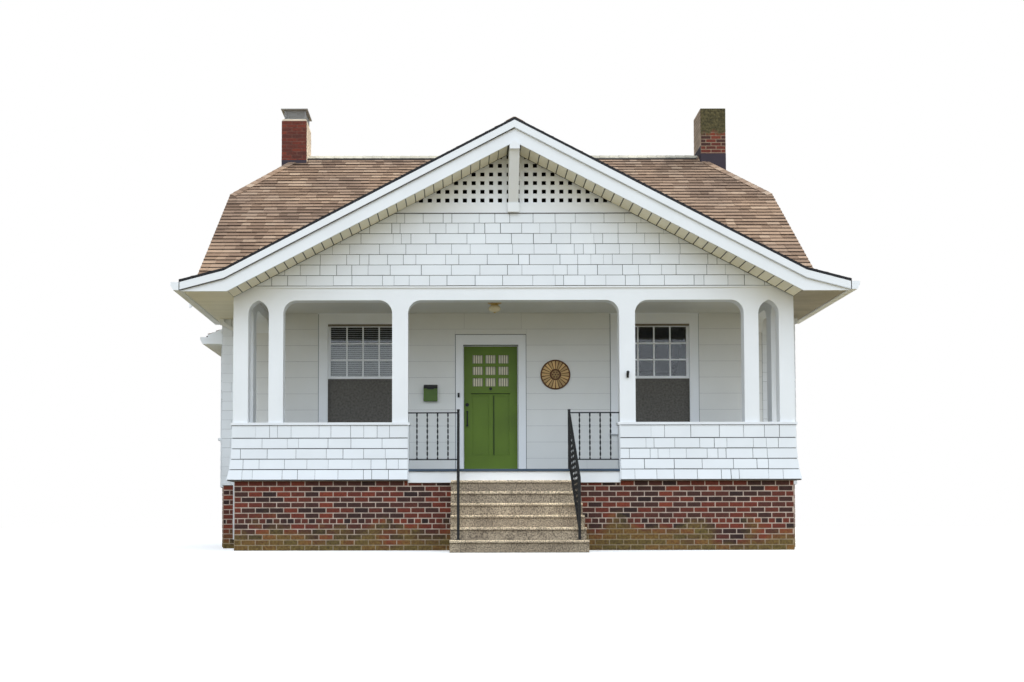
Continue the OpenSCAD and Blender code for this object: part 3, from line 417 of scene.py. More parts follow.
materials = {
    "white": paintMaterial("whitePaint", (0.84, 0.86, 0.88), 0.04),
    "shingle": paintMaterial("shinglePaint", (0.83, 0.86, 0.89), 0.05, grain=(60, 60, 3), perPiece=0.05),
    "siding": paintMaterial("sidingPaint", (0.77, 0.775, 0.755), 0.04, grain=(60, 60, 3), perPiece=0.02),
    # the walls behind the shingles and boards are painted dark, to show in their gaps as painted shade
    "shadedSheath": paintMaterial("shadedSheathPaint", (0.2, 0.21, 0.23), 0.1),
    # painted shade: the porch ceiling is greyer and warmer than the white trim
    "ceiling": paintMaterial("shadedCeilingPaint", (0.72, 0.71, 0.65), 0.04),
    # lit and shaded copies of one soffit paint: the cream one is painted light, the brown-grey one painted
    # shade
    "soffit": paintMaterial("litSoffitPaint", (0.93, 0.88, 0.71), 0.08, perPiece=0.1),
    "soffitShaded": paintMaterial("shadedSoffitPaint", (0.42, 0.38, 0.31), 0.25, perPiece=0.1),
    # faint lines of painted shadow, for the lit right side
    "faint": paintMaterial("faintShadow", (0.6, 0.62, 0.64), 0.2),
    # pale ridge caps: painted highlight of a sunlit cap
    "ridge": paintMaterial("sunlitRidge", (0.62, 0.58, 0.47), 0.4, 0.8, perPiece=0.3),
    "flash": paintMaterial("tarredFlashing", (0.05, 0.038, 0.052), 0.3, 0.7),
    # dark lines of painted shadow in gaps and under edges
    "gap": paintMaterial("gapShadow", (0.06, 0.058, 0.055), 0.2),
    # brown seams round the upper sashes: painted shade between casing and sash
    "seam": paintMaterial("sashSeamShadow", (0.2, 0.16, 0.11), 0.3),
    "drip": paintMaterial("dripEdge", (0.012, 0.012, 0.016), 0.2),
    "nosing": paintMaterial("shadedNosingPaint", (0.045, 0.075, 0.12), 0.2, 0.4),
    # pale chimney faces: the cream one is painted sunlight, the tan one only paler
    "paleTan": paintMaterial("paleTanBrick", (0.4, 0.31, 0.23), 0.35, 0.85, perPiece=0.4),
    "sunlitPale": paintMaterial("sunlitPaleBrick", (0.9, 0.76, 0.58), 0.25, 0.85, perPiece=0.3),
    "brick": brickMaterial("brickFace"),
    "dampBrick": brickMaterial("dampBrickFace", "wall"),
    "mossyBrick": brickMaterial("mossyBrickFace", "chimney"),
    "mortar": mortarMaterial("mortar", (0.4, 0.31, 0.25), (0.66, 0.53, 0.44), "wall"),
    "redMortar": mortarMaterial("redMortar", (0.1, 0.04, 0.03), (0.22, 0.1, 0.07)),
    "mossyMortar": mortarMaterial("mossyMortar", (0.26, 0.18, 0.12), (0.42, 0.32, 0.22), "chimney"),
    "roof": roofMaterial(),
    "concrete": concreteMaterial(),
    "porchFloor": floorPaintMaterial(),
    "boards": woodFloorMaterial(),
    "green": paintMaterial("greenPaint", (0.125, 0.215, 0.01), 0.2, 0.45),
    "groove": paintMaterial("greenShadow", (0.02, 0.045, 0.006), 0.2, 0.6),
    "mailGreen": paintMaterial("mailGreenPaint", (0.09, 0.17, 0.025), 0.3, 0.4),
    "iron": ironMaterial("blackIron", (0.008, 0.008, 0.009), 0.6),
    "steel": metalMaterial("weatheredSteel", (0.3, 0.29, 0.28), 0.5),
    "brass": metalMaterial("agedBrass", (0.7, 0.5, 0.22), 0.35),
    "gilt": paintMaterial("giltWood", (0.78, 0.5, 0.2), 0.3, 0.5, perPiece=0.45),
    "glass": glassMaterial(),
    "reeded": paintMaterial("reededGlass", (0.75, 0.7, 0.5), 0.3, 0.15, perPiece=0.6),
    "opal": newMaterial("opalGlass", (0.85, 0.76, 0.55), 0.25),
    "bronze": paintMaterial("brownGilt", (0.14, 0.06, 0.02), 0.3, 0.5),
    "zinc": paintMaterial("zincWire", (0.42, 0.42, 0.41), 0.3, 0.45),
    "screen": ironMaterial("flyScreen", (0.066, 0.061, 0.053), 0.7),
    "gutter": paintMaterial("gutterPaint", (0.84, 0.86, 0.88), 0.05, 0.35),
}
nodeMaterials = {
    "white": ["front_sills", "side_sills", "porch_posts", "porch_beam", "side_beams", "gable_board",
              "gable_lattice", "gable_bracket", "barge_left", "barge_right", "eave_fascias",
              "main_rake_boards", "bay_eave", "window_frames", "door_frame", "porch_apron"],
    "shadedSheath": ["front_wall_left", "front_wall_right", "front_wall_at_door", "left_wall", "right_wall",
               "rear_wall", "front_parapets", "side_parapets", "gable_wall", "bay_wall"],
    # the porch soffits' node shows dark between the soffit boards: painted shade
    "ceiling": ["porch_ceiling"], "gap": ["porch_soffits"],
    "mortar": ["foundation_cross_walls", "foundation_side_walls", "bay_base"],
    "redMortar": ["left_chimney"], "mossyMortar": ["right_chimney"],
    "concrete": ["porch_steps"],
    "roof": ["porch_roof_left", "porch_roof_right", "main_roof_front", "main_roof_rear", "main_roof_clips",
             "main_ridge_cap", "bay_roof"],
    "porchFloor": ["porch_floor"], "boards": ["house_floor"], "green": ["front_door"],
    "mailGreen": ["mailbox"], "glass": ["window_glass", "door_glass"], "screen": ["window_screens"],
    "iron": ["guard_rails", "stair_rails", "door_hardware", "door_bell"],
    "steel": ["door_hinges", "hinge_pins", "chimney_cap"], "gutter": ["gutters", "downspouts"],
    "brass": ["porch_light"], "bronze": ["wall_ornament"],
}


def paintNodes():
    for key, names in nodeMaterials.items():
        for name in names:
            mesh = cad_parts[name].data
            mesh.materials.clear()
            mesh.materials.append(materials[key])


# piece helpers

def newBuild():
    bm = bmesh.new()
    bm.faces.layers.float.new("shade")
    return bm


def pour(total, part, place=None):
    # moves the part into place and adds it to the whole piece
    if place:
        bmesh.ops.transform(part, matrix=place, verts=part.verts)
    mesh = bpy.data.meshes.new("part")
    part.to_mesh(mesh)
    part.free()
    total.from_mesh(mesh)
    bpy.data.meshes.remove(mesh)


def finishPiece(name, bm, material, body="house", replaced=()):
    mesh = bpy.data.meshes.new(name)
    bm.to_mesh(mesh)
    bm.free()
    mesh.materials.append(materials[material])
    piece = bpy.data.objects.new(name, mesh)
    bpy.context.scene.collection.objects.link(piece)
    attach(piece, body)
    if replaced:
        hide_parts(*replaced)
    print(name, len(mesh.polygons), "faces")
    return piece


def planeAt(origin, across, up):
    # local u runs across, v up, w out of the surface
    across, up = Vector(across).normalized(), Vector(up).normalized()
    out = across.cross(up)
    return Matrix(((across.x, up.x, out.x, origin[0]), (across.y, up.y, out.y, origin[1]),
                   (across.z, up.z, out.z, origin[2]), (0, 0, 0, 1)))


def wallPlane(side, at):
    across = {"front": (1, 0, 0), "rear": (-1, 0, 0), "right": (0, 1, 0), "left": (0, -1, 0)}[side]
    origin = (0, at, 0) if side in ("front", "rear") else (at, 0, 0)
    return planeAt(origin, across, (0, 0, 1))


def addBox(bm, low, high, shade=0.5, wedge=0.0, paintedShadeButt=False, bevel=0.0):
    # wedge thins the upper edge, and the butt flag colours the lower end's face near black: painted shade
    # under the butt
    size = [b - a for a, b in zip(low, high)]
    middle = [(a + b) / 2 for a, b in zip(low, high)]
    place = Matrix.Translation(middle) @ Matrix.Diagonal((*size, 1))
    verts = bmesh.ops.create_cube(bm, size=1, matrix=place)["verts"]
    layer = bm.faces.layers.float["shade"]
    for face in {f for v in verts for f in v.link_faces}:
        butt = paintedShadeButt and abs(face.calc_center_median().y - low[1]) < 1e-5
        face[layer] = 0 if butt else shade
    for vert in verts:
        if wedge and vert.co.y > middle[1] and vert.co.z > middle[2]:
            vert.co.z -= wedge
    if bevel:
        edges = list({e for v in verts for e in v.link_edges})
        verts = bmesh.ops.bevel(bm, geom=edges, offset=bevel, affect="EDGES", segments=2, profile=0.5,
                                material=-1)["verts"]
    return verts


def addPost(bm, x, y, half, low, high, bevel=0.003):
    addBox(bm, (x - half, y - half, low), (x + half, y + half, high), bevel=bevel)


def freeParts(u0, u1, v0, v1, holes):
    # the parts of one row that no hole covers
    sliver = 0.012
    near = [h for h in holes if h[2] < v1 and h[3] > v0 and h[0] < u1 and h[1] > u0]
    cuts = sorted({u0, u1, *[min(max(h[i], u0), u1) for h in near for i in (0, 1)]})
    for a, b in zip(cuts, cuts[1:]):
        over = [h for h in near if h[0] < (a + b) / 2 < h[1]]
        spans = [(v0, v1)] if not over else [(v0, min(h[2] for h in over)), (max(h[3] for h in over), v1)]
        for low, high in spans:
            if high - low > sliver and b - a > sliver:
                yield a, b, low, high


def keepInside(bm):
    # the ends of the hips stop at the sides of the whole model's box
    for vert in bm.verts:
        vert.co.x = min(max(vert.co.x, cadLow.x + 0.001), cadHigh.x - 0.001)


def widthsOf(rng, length, low, high):
    widths = []
    while not widths or sum(widths) < length - low / 2:
        widths.append(rng.uniform(low, high))
    scale = length / sum(widths)
    return [w * scale for w in widths]


def clipRow(bm, lines):
    # each line is a point and the outward direction in the plane of the rows
    for (pu, pv), (nu, nv) in lines:
        if not any((v.co.x - pu) * nu + (v.co.y - pv) * nv > 0 for v in bm.verts):
            continue
        geometry = list(bm.verts) + list(bm.edges) + list(bm.faces)
        bmesh.ops.bisect_plane(bm, geom=geometry, dist=1e-6, plane_co=(pu, pv, 0), plane_no=(nu, nv, 0),
                               clear_outer=True)
        rims = [e for e in bm.edges if e.is_boundary]
        if rims:
            bmesh.ops.holes_fill(bm, edges=rims, sides=8)


def layRows(total, place, look, rng, uRange, vRange, holes=(), clips=(), bend=None, tones=(0.0, 1.0)):
    rows = max(1, round((vRange[1] - vRange[0]) / look["row"]))
    height = look["row"] if look.get("firm") else (vRange[1] - vRange[0]) / rows
    for k in range(rows):
        v0 = vRange[0] + k * height
        v1 = v0 + height if k < rows - 1 else vRange[1]
        bm = newBuild()
        for a, b, low, high in freeParts(*uRange, v0, v1, holes):
            u = a
            for width in widthsOf(rng, b - a, *look["width"]):
                drop = rng.uniform(0, look.get("uneven", 0)) if low == v0 else 0
                lap = look.get("lap", 0) if high == v1 and k < rows - 1 else 0
                gap = look["gap"] / 2 * rng.uniform(1 - look.get("loose", 0), 1)
                thick = look["thick"] * rng.uniform(1 - look.get("vary", 0.15), 1)
                addBox(bm, (u + gap, low - drop + look.get("joint", 0), -0.001),
                       (u + width - gap, high + lap, thick), rng.uniform(*tones),
                       thick * look.get("wedge", 0), look.get("paintedShadeButt", False))
                u += width
        clipRow(bm, clips)
        if bend:
            for vert in bm.verts:
                bend(vert)
        pour(total, bm, place)


# white wall shingles and porch wall boards

# the gaps and joints between shingles show the dark wall behind: painted shade
wallShingle = {"row": 0.16, "width": (0.12, 0.5), "thick": 0.014, "gap": 0.011, "loose": 0.8,
               "uneven": 0.003, "joint": 0.009, "wedge": 0.5}


def windowMiddles(side):
    # along each wall as someone outside sees it, from shares of the wall's length
    run = rearY - wallY
    return {"front": [-porchWindowX, porchWindowX],
            "left": [-wallY - t * run for t in (0.66, 0.87)],
            "right": [wallY + t * run for t in (0.16, 0.36, 0.66, 0.87)],
            "rear": [t * 2 * sideX for t in (-0.3, 0, 0.3)],
            "bay": [-bayLow.y - t * (bayHigh.y - bayLow.y) for t in (0.27, 0.73)]}[side]


def windowHoles(side, half=0.725, top=1.98):
    # where a wall's shingles or boards stop at the casings
    return [(m - half, m + half, sillZ - 0.035, sillZ + top) for m in windowMiddles(side)]


def underRoof(middle, peak, pitch):
    # clip lines a little under two slopes that meet at a peak
    clear = 0.012
    return [((middle, peak - clear), (pitch, 1)), ((middle, peak - clear), (-pitch, 1))]


def makeParapetShingles(rng):
    look = {**wallShingle, "row": 0.158, "firm": True, "joint": 0.014}
    plainEnd = {"row": 0.158, "firm": True, "width": (3, 4), "thick": 0.01, "gap": 0, "vary": 0}
    flare = {"out": 0.07, "corner": 0.01}
    rise = (brickTop + 0.004, parapetTop)

    def bendAt(end, near=0.008, extra=0.0, lean=1):
        # leans a face out at its foot, and carries its end out as far, so that the corners meet
        def bend(vert):
            share = min(max((parapetTop - vert.co.y) / (parapetTop - brickTop), 0), 1)
            out = flare["out"] * share ** 3
            if abs(vert.co.x - end) < near:
                vert.co.x += math.copysign(out + extra, end)
            vert.co.z += lean * out
        return bend

    bm = newBuild()
    for side, sign in sides:
        layRows(bm, wallPlane("front", frontY), look, rng, span(sign, postX, porchX), rise,
                bend=bendAt(sign * porchX, extra=flare["corner"]))
        layRows(bm, wallPlane(side, sign * porchX), look, rng, span(sign, frontY, wallY), rise,
                bend=bendAt(sign * frontY))
    for side, sign in (("left", 1), ("right", -1)):  # plain ends beside the steps
        layRows(bm, wallPlane(side, sign * postX), plainEnd, rng, span(-sign, frontY, parapetY), rise,
                bend=bendAt(-sign * frontY, near=0.001, lean=0))
    finishPiece("parapetShingles", bm, "shingle")


def makeGableShingles(rng):
    bm = newBuild()
    layRows(bm, wallPlane("front", frontY), wallShingle, rng, (-porchX, porchX),
            (beamTop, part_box("gable_board")[0].z), clips=underRoof(0, porchRidgeZ - soffitDrop, porchPitch))
    finishPiece("gableShingles", bm, "shingle")


def makeSideShingles(rng):
    thin = {**wallShingle, "thick": 0.009, "joint": 0.004, "gap": 0.006}  # under the downspout straps
    rows = 39  # up to the underside of the clipped ends
    stripTop = 3.86  # beside the porch, up to its level soffits
    for side, sign in sides:
        holes = windowHoles(side)
        if side == "left":
            low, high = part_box("bay_eave")
            holes += [(-bayHigh.y, -bayLow.y, 0, bayHigh.z), (-high.y, -low.y, bayHigh.z, high.z)]
        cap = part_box(side + "_wall")[1].z - 0.015
        clips = underRoof(sign * ridgeY, ridgeZ - roofDeck, roofPitch) + [((0, cap), (0, 1))]
        bm = newBuild()
        layRows(bm, wallPlane(side, sign * sideX), wallShingle, rng, span(sign, wallY, rearY),
                (brickTop, brickTop + rows * wallShingle["row"]), holes, clips)
        layRows(bm, wallPlane("front", wallY), thin, rng, span(sign, porchX, sideX), (brickTop, stripTop))
        finishPiece(side + "WallShingles", bm, "shingle")


def makeRearShingles(rng):
    bm = newBuild()
    layRows(bm, wallPlane("rear", rearY), wallShingle, rng, (-sideX, sideX),
            (brickTop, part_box("rear_wall")[1].z - 0.03), windowHoles("rear"))
    finishPiece("rearWallShingles", bm, "shingle")


def makeBayShingles(rng):
    low, high = bayLow, bayHigh
    rise = (low.z, high.z)
    bm = newBuild()
    layRows(bm, wallPlane("left", low.x), wallShingle, rng, (-high.y, -low.y), rise,
            windowHoles("bay", top=2.07))
    layRows(bm, wallPlane("front", low.y), wallShingle, rng, (low.x, high.x), rise)
    layRows(bm, wallPlane("rear", high.y), wallShingle, rng, (-high.x, -low.x), rise)
    finishPiece("bayShingles", bm, "shingle")


def makeWallShingles():
    rng = random.Random(3)
    makeParapetShingles(rng)
    makeGableShingles(rng)
    makeSideShingles(rng)
    makeRearShingles(rng)
    makeBayShingles(rng)


def makePorchWall():
    look = {"row": 0.285, "width": (1.1, 1.9), "thick": 0.009, "gap": 0.002, "joint": 0.003, "wedge": 0.3,
            "vary": 0.1}
    sideBay = {"low": 1.95, "high": 3.6}  # the wall's ends show only between these heights
    low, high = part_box("door_frame")
    # the dark-painted wall shows as a line round each casing: painted shade
    holes = [(low.x - 0.01, high.x + 0.01, 0, high.z + 0.012), *windowHoles("front", 0.745, 2.014)]
    inner = porchX - 0.22
    for side in ((inner, porchX), (-porchX, -inner)):
        holes += [(*side, 0, sideBay["low"]), (*side, sideBay["high"], 9)]
    rng = random.Random(9)
    bm = newBuild()
    layRows(bm, wallPlane("front", wallY), look, rng, (-porchX + 0.005, porchX - 0.005),
            (floorZ, ceilingZ), holes)
    rise = (floorZ, parapetTop)
    layRows(bm, wallPlane("rear", parapetY), look, rng, (-inner, -postX), rise)
    layRows(bm, wallPlane("rear", parapetY), look, rng, (postX, inner), rise)
    layRows(bm, wallPlane("left", inner), look, rng, (-wallY, -parapetY), rise)
    layRows(bm, wallPlane("right", -inner), look, rng, (parapetY, wallY), rise)
    finishPiece("porchWallBoards", bm, "siding")


# bricks

def layBricks(total, place, rng, uRange, vRange, holes=(), tones=(0.0, 0.85), phase=0, course=0.0826):
    look = {"long": 0.213, "least": 0.035, "leastHigh": 0.6, "joint": 0.0075, "proud": 0.005, "headerRow": 5}
    joint = look["joint"]
    rows = max(1, round((vRange[1] - vRange[0]) / course))
    course = (vRange[1] - vRange[0]) / rows
    for k in range(rows):
        v0 = vRange[0] + k * course
        step = look["long"] / 2 if k == look["headerRow"] - phase else look["long"]
        bm = newBuild()
        for a, b, low, high in freeParts(*uRange, v0, v0 + course, holes):
            if high - low < course * look["leastHigh"]:
                continue
            u = a - (k % 2) * step / 2
            while u < b:
                left, right = max(u, a), min(u + step, b)
                if right - left > look["least"]:
                    proud = look["proud"] * rng.uniform(0.5, 1)
                    addBox(bm, (left + joint, low + joint, -0.01), (right - joint, high - joint, proud),
                           rng.uniform(*tones))
                u += step
        pour(total, bm, place)


def layBrickBox(total, rng, low, high, vRange, faces, **look):
    spans = {"front": (low.y, (low.x, high.x)), "rear": (high.y, (-high.x, -low.x)),
             "right": (high.x, (low.y, high.y)), "left": (low.x, (-high.y, -low.y))}
    for side in faces:
        at, uRange = spans[side]
        layBricks(total, wallPlane(side, at), rng, uRange, vRange, **look)


def makeFoundationBricks(rng):
    setback = 0.025
    low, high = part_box("foundation_cross_walls")
    porchFoot, sideFoot, wallFoot = porchX - setback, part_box("foundation_side_walls")[1].x, wallY + setback
    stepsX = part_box("porch_steps")[1].x - 0.06
    rise = (0, brickTop)
    bm = newBuild()
    layBricks(bm, wallPlane("front", low.y), rng, (-porchFoot, porchFoot), rise,
              [(-stepsX, stepsX, 0, 9), (-postX, postX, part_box("porch_apron")[0].z, 9)])
    for side, sign in sides:
        layBricks(bm, wallPlane(side, sign * porchFoot), rng, span(sign, low.y, wallFoot), rise)
        layBricks(bm, wallPlane("front", wallFoot), rng, span(sign, porchFoot, sideFoot), rise)
        layBricks(bm, wallPlane(side, sign * sideFoot), rng, span(sign, wallFoot, high.y), rise)
    layBricks(bm, wallPlane("rear", high.y), rng, (-sideFoot, sideFoot), rise)
    finishPiece("foundationBricks", bm, "dampBrick")
    bm = newBuild()
    layBrickBox(bm, rng, *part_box("bay_base"), rise, ("front", "rear", "left"))
    finishPiece("bayBricks", bm, "dampBrick")


def makeChimneyBricks(rng):
    # one face of each chimney is pale: on the left chimney it is painted sunlight, on the right one only a
    # paler tan; tarred flashing closes the joint with the roof
    courses = {"phase": 9, "course": 0.0722}
    rows, flashHigh = 29, 0.7  # both start below the roof
    chimneys = {"left": {"brick": "brick", "tones": (0.45, 0.8), "pale": "right", "paleBrick": "sunlitPale",
                         "flashing": 11.5},
                "right": {"brick": "mossyBrick", "tones": (0.25, 0.85), "pale": "left", "paleBrick": "paleTan",
                          "flashing": 13.2}}
    flash = newBuild()
    for name, look in chimneys.items():
        low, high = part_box(name + "_chimney")
        rise = (high.z - rows * courses["course"], high.z)
        faces = [side for side in ("front", "rear", "left", "right") if side != look["pale"]]
        bm = newBuild()
        layBrickBox(bm, rng, low, high, rise, faces, tones=look["tones"], **courses)
        finishPiece(name + "ChimneyBricks", bm, look["brick"])
        bm = newBuild()
        layBrickBox(bm, rng, low, high, rise, [look["pale"]], tones=(0.4, 1.0), **courses)
        finishPiece(name + "ChimneyPaleFace", bm, look["paleBrick"])
        top = high.z - look["flashing"] * courses["course"]
        foot = top - flashHigh
        for y in (low.y - 0.011, high.y + 0.001):
            addBox(flash, (low.x - 0.002, y, foot), (high.x + 0.002, y + 0.01, top), bevel=0.002)
        if name == "right":
            addBox(flash, (low.x - 0.011, low.y - 0.002, foot), (low.x - 0.001, high.y + 0.002, top + 0.16),
                   bevel=0.002)
    finishPiece("chimneyFlashing", flash, "flash")


def makeBricks():
    rng = random.Random(21)
    makeFoundationBricks(rng)
    makeChimneyBricks(rng)


# roof shingles and caps

def layTabs(total, rng, place, uRange, vRange, clips=()):
    look = {"row": 0.16, "width": (0.14, 0.34), "thick": 0.025, "gap": 0.004, "lap": 0.02, "wedge": 0.8,
            "paintedShadeButt": True, "vary": 0.25}
    layRows(total, place, look, rng, uRange, vRange, clips=clips, tones=(0.3, 0.8))


def makeMainRoofTabs(rng):
    c, s = slopeOf(roofPitch)
    valley = (valleyY - wallY) / c
    rearZ = ridgeZ - roofPitch * (roofRearY - ridgeY)
    slopes = {"Front": (planeAt((0, wallY, eaveZ), (1, 0, 0), (0, c, s)), (ridgeY - wallY) / c),
              "Rear": (planeAt((0, roofRearY, rearZ), (-1, 0, 0), (0, -c, s)), (roofRearY - ridgeY) / c)}
    for name, (place, run) in slopes.items():
        hipLow = run - clipRun / c
        bm = newBuild()
        for sign in (1, -1):
            clips = [((0, valley), (-sign * valley, -valleyX))] if name == "Front" else []
            clips.append(((sign * roofEdgeX, hipLow), (sign * (run - hipLow), hipIn)))
            layTabs(bm, rng, place, span(sign, 0, roofEdgeX), (0, run), clips)
        finishPiece("mainRoof" + name + "Tabs", bm, "roof")


def makeHipTabs(rng):
    bm = newBuild()
    for sign in (1, -1):
        place = planeAt((sign * roofEdgeX, ridgeY, clipZ), (0, sign, 0), (-sign * hipIn, 0, hipRise))
        layTabs(bm, rng, place, (-clipRun, clipRun), (0, hipSlope), hipClips)
    keepInside(bm)
    finishPiece("hipTabs", bm, "roof")


def makePorchRoofTabs(rng):
    look = {"inset": 0.025, "behind": 0.14}
    c, s = slopeOf(porchPitch)
    slope, valleyLow = bellX / c, (bellX - valleyX) / c
    start = porchFrontY + look["inset"]
    for side, sign in (("Right", 1), ("Left", -1)):
        bm = newBuild()
        place = planeAt((sign * bellX, 0, bellZ), (0, sign, 0), (-sign * c, 0, s))
        layTabs(bm, rng, place, span(sign, start, valleyY), (0, slope),
                [((sign * valleyY, slope), (sign * (slope - valleyLow), valleyY - wallY))])
        foot = planeAt((sign * porchEdgeX, 0, footZ), (0, sign, 0), (-sign * footRun, 0, footRise))
        layTabs(bm, rng, foot, span(sign, start, wallY), (0, math.hypot(footRun, footRise)))
        layTabs(bm, rng, foot, span(sign, wallY, porchBackY), (0, look["behind"]))
        finishPiece("porchRoof" + side + "Tabs", bm, "roof")


def makeBayRoofTabs(rng):
    low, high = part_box("bay_roof")
    rise, run = 0.16, 0.43
    bm = newBuild()
    place = planeAt((high.x - run, 0, high.z - rise), (0, -1, 0), (run, 0, rise))
    layTabs(bm, rng, place, (-high.y, -low.y), (0.0, math.hypot(run, rise)))
    finishPiece("bayRoofTabs", bm, "roof")


def makeRoofTabs():
    rng = random.Random(31)
    makeMainRoofTabs(rng)
    makeHipTabs(rng)
    makePorchRoofTabs(rng)
    makeBayRoofTabs(rng)


def layCaps(total, rng, start, end, inward, lift):
    # lapped caps on one side of a ridge or hip, each thinner at its upper end
    look = {"step": 0.2, "wide": 0.13, "over": 0.008, "under": 0.004, "thick": 0.014, "lap": 0.06,
            "taper": 0.7}
    start, end, inward = Vector(start), Vector(end), Vector(inward)
    along = (end - start).normalized()
    up = (inward - along * inward.dot(along)).normalized()
    flip = along.cross(up).z < 0
    place = planeAt(end, -along, up) if flip else planeAt(start, along, up)
    length = (end - start).length
    count = max(1, round(length / look["step"]))
    step = length / count
    bm = newBuild()
    for k in range(count):
        lap = look["lap"] * (k < count - 1)
        verts = addBox(bm, (k * step, -look["over"], lift - look["under"]),
                       ((k + 1) * step + lap, look["wide"], lift + look["thick"]), rng.uniform(0.4, 1.0))
        for vert in verts:
            if (vert.co.x > (k + 0.5) * step) != flip and vert.co.z > lift:
                vert.co.z -= look["thick"] * look["taper"]
    pour(total, bm, place)


def makeCaps():
    lift = {"ridge": 0.02, "hip": 0.016}
    shadowLine = {"from": 0.13, "to": 0.19, "thick": 0.028}
    rng = random.Random(37)
    hips, ridge, shadow = newBuild(), newBuild(), newBuild()
    peak = (0, ridgeY, ridgeZ)
    for face in (1, -1):
        down = (0, -face, -roofPitch)
        layCaps(ridge, rng, (-ridgeX, ridgeY, ridgeZ), peak, down, lift["ridge"])
        layCaps(ridge, rng, peak, (ridgeX, ridgeY, ridgeZ), down, lift["ridge"])
        line = newBuild()
        addBox(line, (-ridgeX, -shadowLine["to"], 0.0), (ridgeX, -shadowLine["from"], shadowLine["thick"]))
        pour(shadow, line, planeAt(peak, (face, 0, 0), (0, face, roofPitch)))
        for sign in (1, -1):
            start = (sign * roofEdgeX, ridgeY - face * clipRun, clipZ)
            end = (sign * ridgeX, ridgeY, ridgeZ)
            for inward in ((-sign, 0, 0), (0, face, 0)):
                layCaps(hips, rng, start, end, inward, lift["hip"])
    keepInside(hips)
    finishPiece("mainRoofCaps", hips, "roof")
    finishPiece("ridgeCaps", ridge, "ridge")
    finishPiece("ridgeShadow", shadow, "gap")
    bm = newBuild()
    for sign in (1, -1):
        layCaps(bm, rng, (0, porchFrontY + 0.04, porchRidgeZ), (0, valleyY, porchRidgeZ),
                (sign, 0, -porchPitch), lift["hip"])
    finishPiece("porchRoofCaps", bm, "roof")


def makeEdges():
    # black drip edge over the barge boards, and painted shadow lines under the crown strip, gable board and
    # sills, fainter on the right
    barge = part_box("barge_left")[0].y
    dripEdge = {"front": porchFrontY - 0.004, "back": porchFrontY + 0.03, "under": 0.027, "over": 0.01}
    crownLine = {"front": barge + 0.001, "back": barge + 0.04, "under": 0.15, "over": -0.141}
    corners = [Vector((0, porchRidgeZ)), Vector((bellX, bellZ)), Vector((porchEdgeX, footZ))]
    drip, line, faint = newBuild(), newBuild(), newBuild()
    for sign in (1, -1):
        for a, b in zip(corners, corners[1:]):
            for bm, look in ((drip, dripEdge), (line if sign < 0 else faint, crownLine)):
                verts = addBox(bm, (0, look["front"], -look["under"]), (1, look["back"], look["over"]))
                for vert in verts:
                    at = a.lerp(b, vert.co.x)
                    vert.co.x, vert.co.z = sign * at.x, at.y + vert.co.z
    # painted shadow in the joint at each end of the porch roof's foot
    for sign in (1, -1):
        x = sign * (porchEdgeX + 0.004)
        addBox(line, (x - 0.006, porchFrontY - 0.002, footZ - 0.15),
               (x + 0.006, porchFrontY + 0.03, footZ + 0.01))
    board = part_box("gable_board")[0]
    half = (porchRidgeZ - soffitDrop - board.z) / porchPitch
    addBox(line, (-half, frontY - 0.016, board.z - 0.012), (half, frontY + 0.01, board.z - 0.001))
    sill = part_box("front_sills")[0].z
    for sign in (1, -1):
        left, right = span(sign, postX + 0.004, porchX + 0.012)
        addBox(line, (left, frontY - 0.019, sill - 0.006), (right, frontY, sill - 0.0005))
    for bm in (drip, line, faint):
        bmesh.ops.recalc_face_normals(bm, faces=bm.faces)
    finishPiece("dripEdges", drip, "drip")
    finishPiece("crownLines", line, "gap")
    finishPiece("faintLines", faint, "faint")


# boards under the eaves and on the porch

narrowBoard = {"row": 0.085, "width": (2, 3), "thick": 0.007, "gap": 0.002, "joint": 0.004, "vary": 0}


def makePorchSoffits(rng):
    gableBoard = {"row": 0.158, "width": (3, 4), "thick": 0.008, "gap": 0.0, "joint": 0.017, "vary": 0}
    levelBoard = {**gableBoard, "row": 0.15, "joint": 0.006}
    c, s = slopeOf(porchPitch)
    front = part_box("porch_soffits")[0].y
    inner, outer = soffitX + 0.004, porchEdgeX - 0.032
    for side, sign in (("Right", 1), ("Left", -1)):
        bm = newBuild()
        slope = planeAt((0, 0, porchRidgeZ - soffitDrop), (0, sign, 0), (sign * c, 0, -s))
        # the left gable soffit takes darker tones than the right one: painted shade
        layRows(bm, slope, gableBoard, rng, span(sign, front, frontY - 0.03),
                (0.09 / c, soffitX / c - 0.004), tones=(0.2, 1.0) if sign > 0 else (0.0, 0.4))
        finishPiece("gableSoffit" + side, bm, "soffit")
        bm = newBuild()
        for x0, x1, y0, y1 in ((inner, outer, front, frontY), (porchX + 0.002, outer, frontY, wallY),
                               (sideX + 0.002, outer, wallY, porchBackY)):
            layRows(bm, planeAt((0, 0, soffitZ), (sign, 0, 0), (0, -sign, 0)), levelBoard, rng, (x0, x1),
                    span(-sign, y0, y1))
        rearEnd = addBox(bm, (sign * sideX, porchBackY, soffitZ - 0.008),
                         (sign * outer, porchBackY + 0.01, footZ - 0.006))
        for vert in rearEnd:  # up to the roof's flatter foot
            if vert.co.z > soffitZ:
                vert.co.z += (porchEdgeX - abs(vert.co.x)) * footRise / footRun
        bmesh.ops.recalc_face_normals(bm, faces=bm.faces)
        # the right level soffit takes the shaded copy of the soffit paint: painted shade
        finishPiece("levelSoffit" + side, bm, "soffitShaded" if sign > 0 else "soffit")


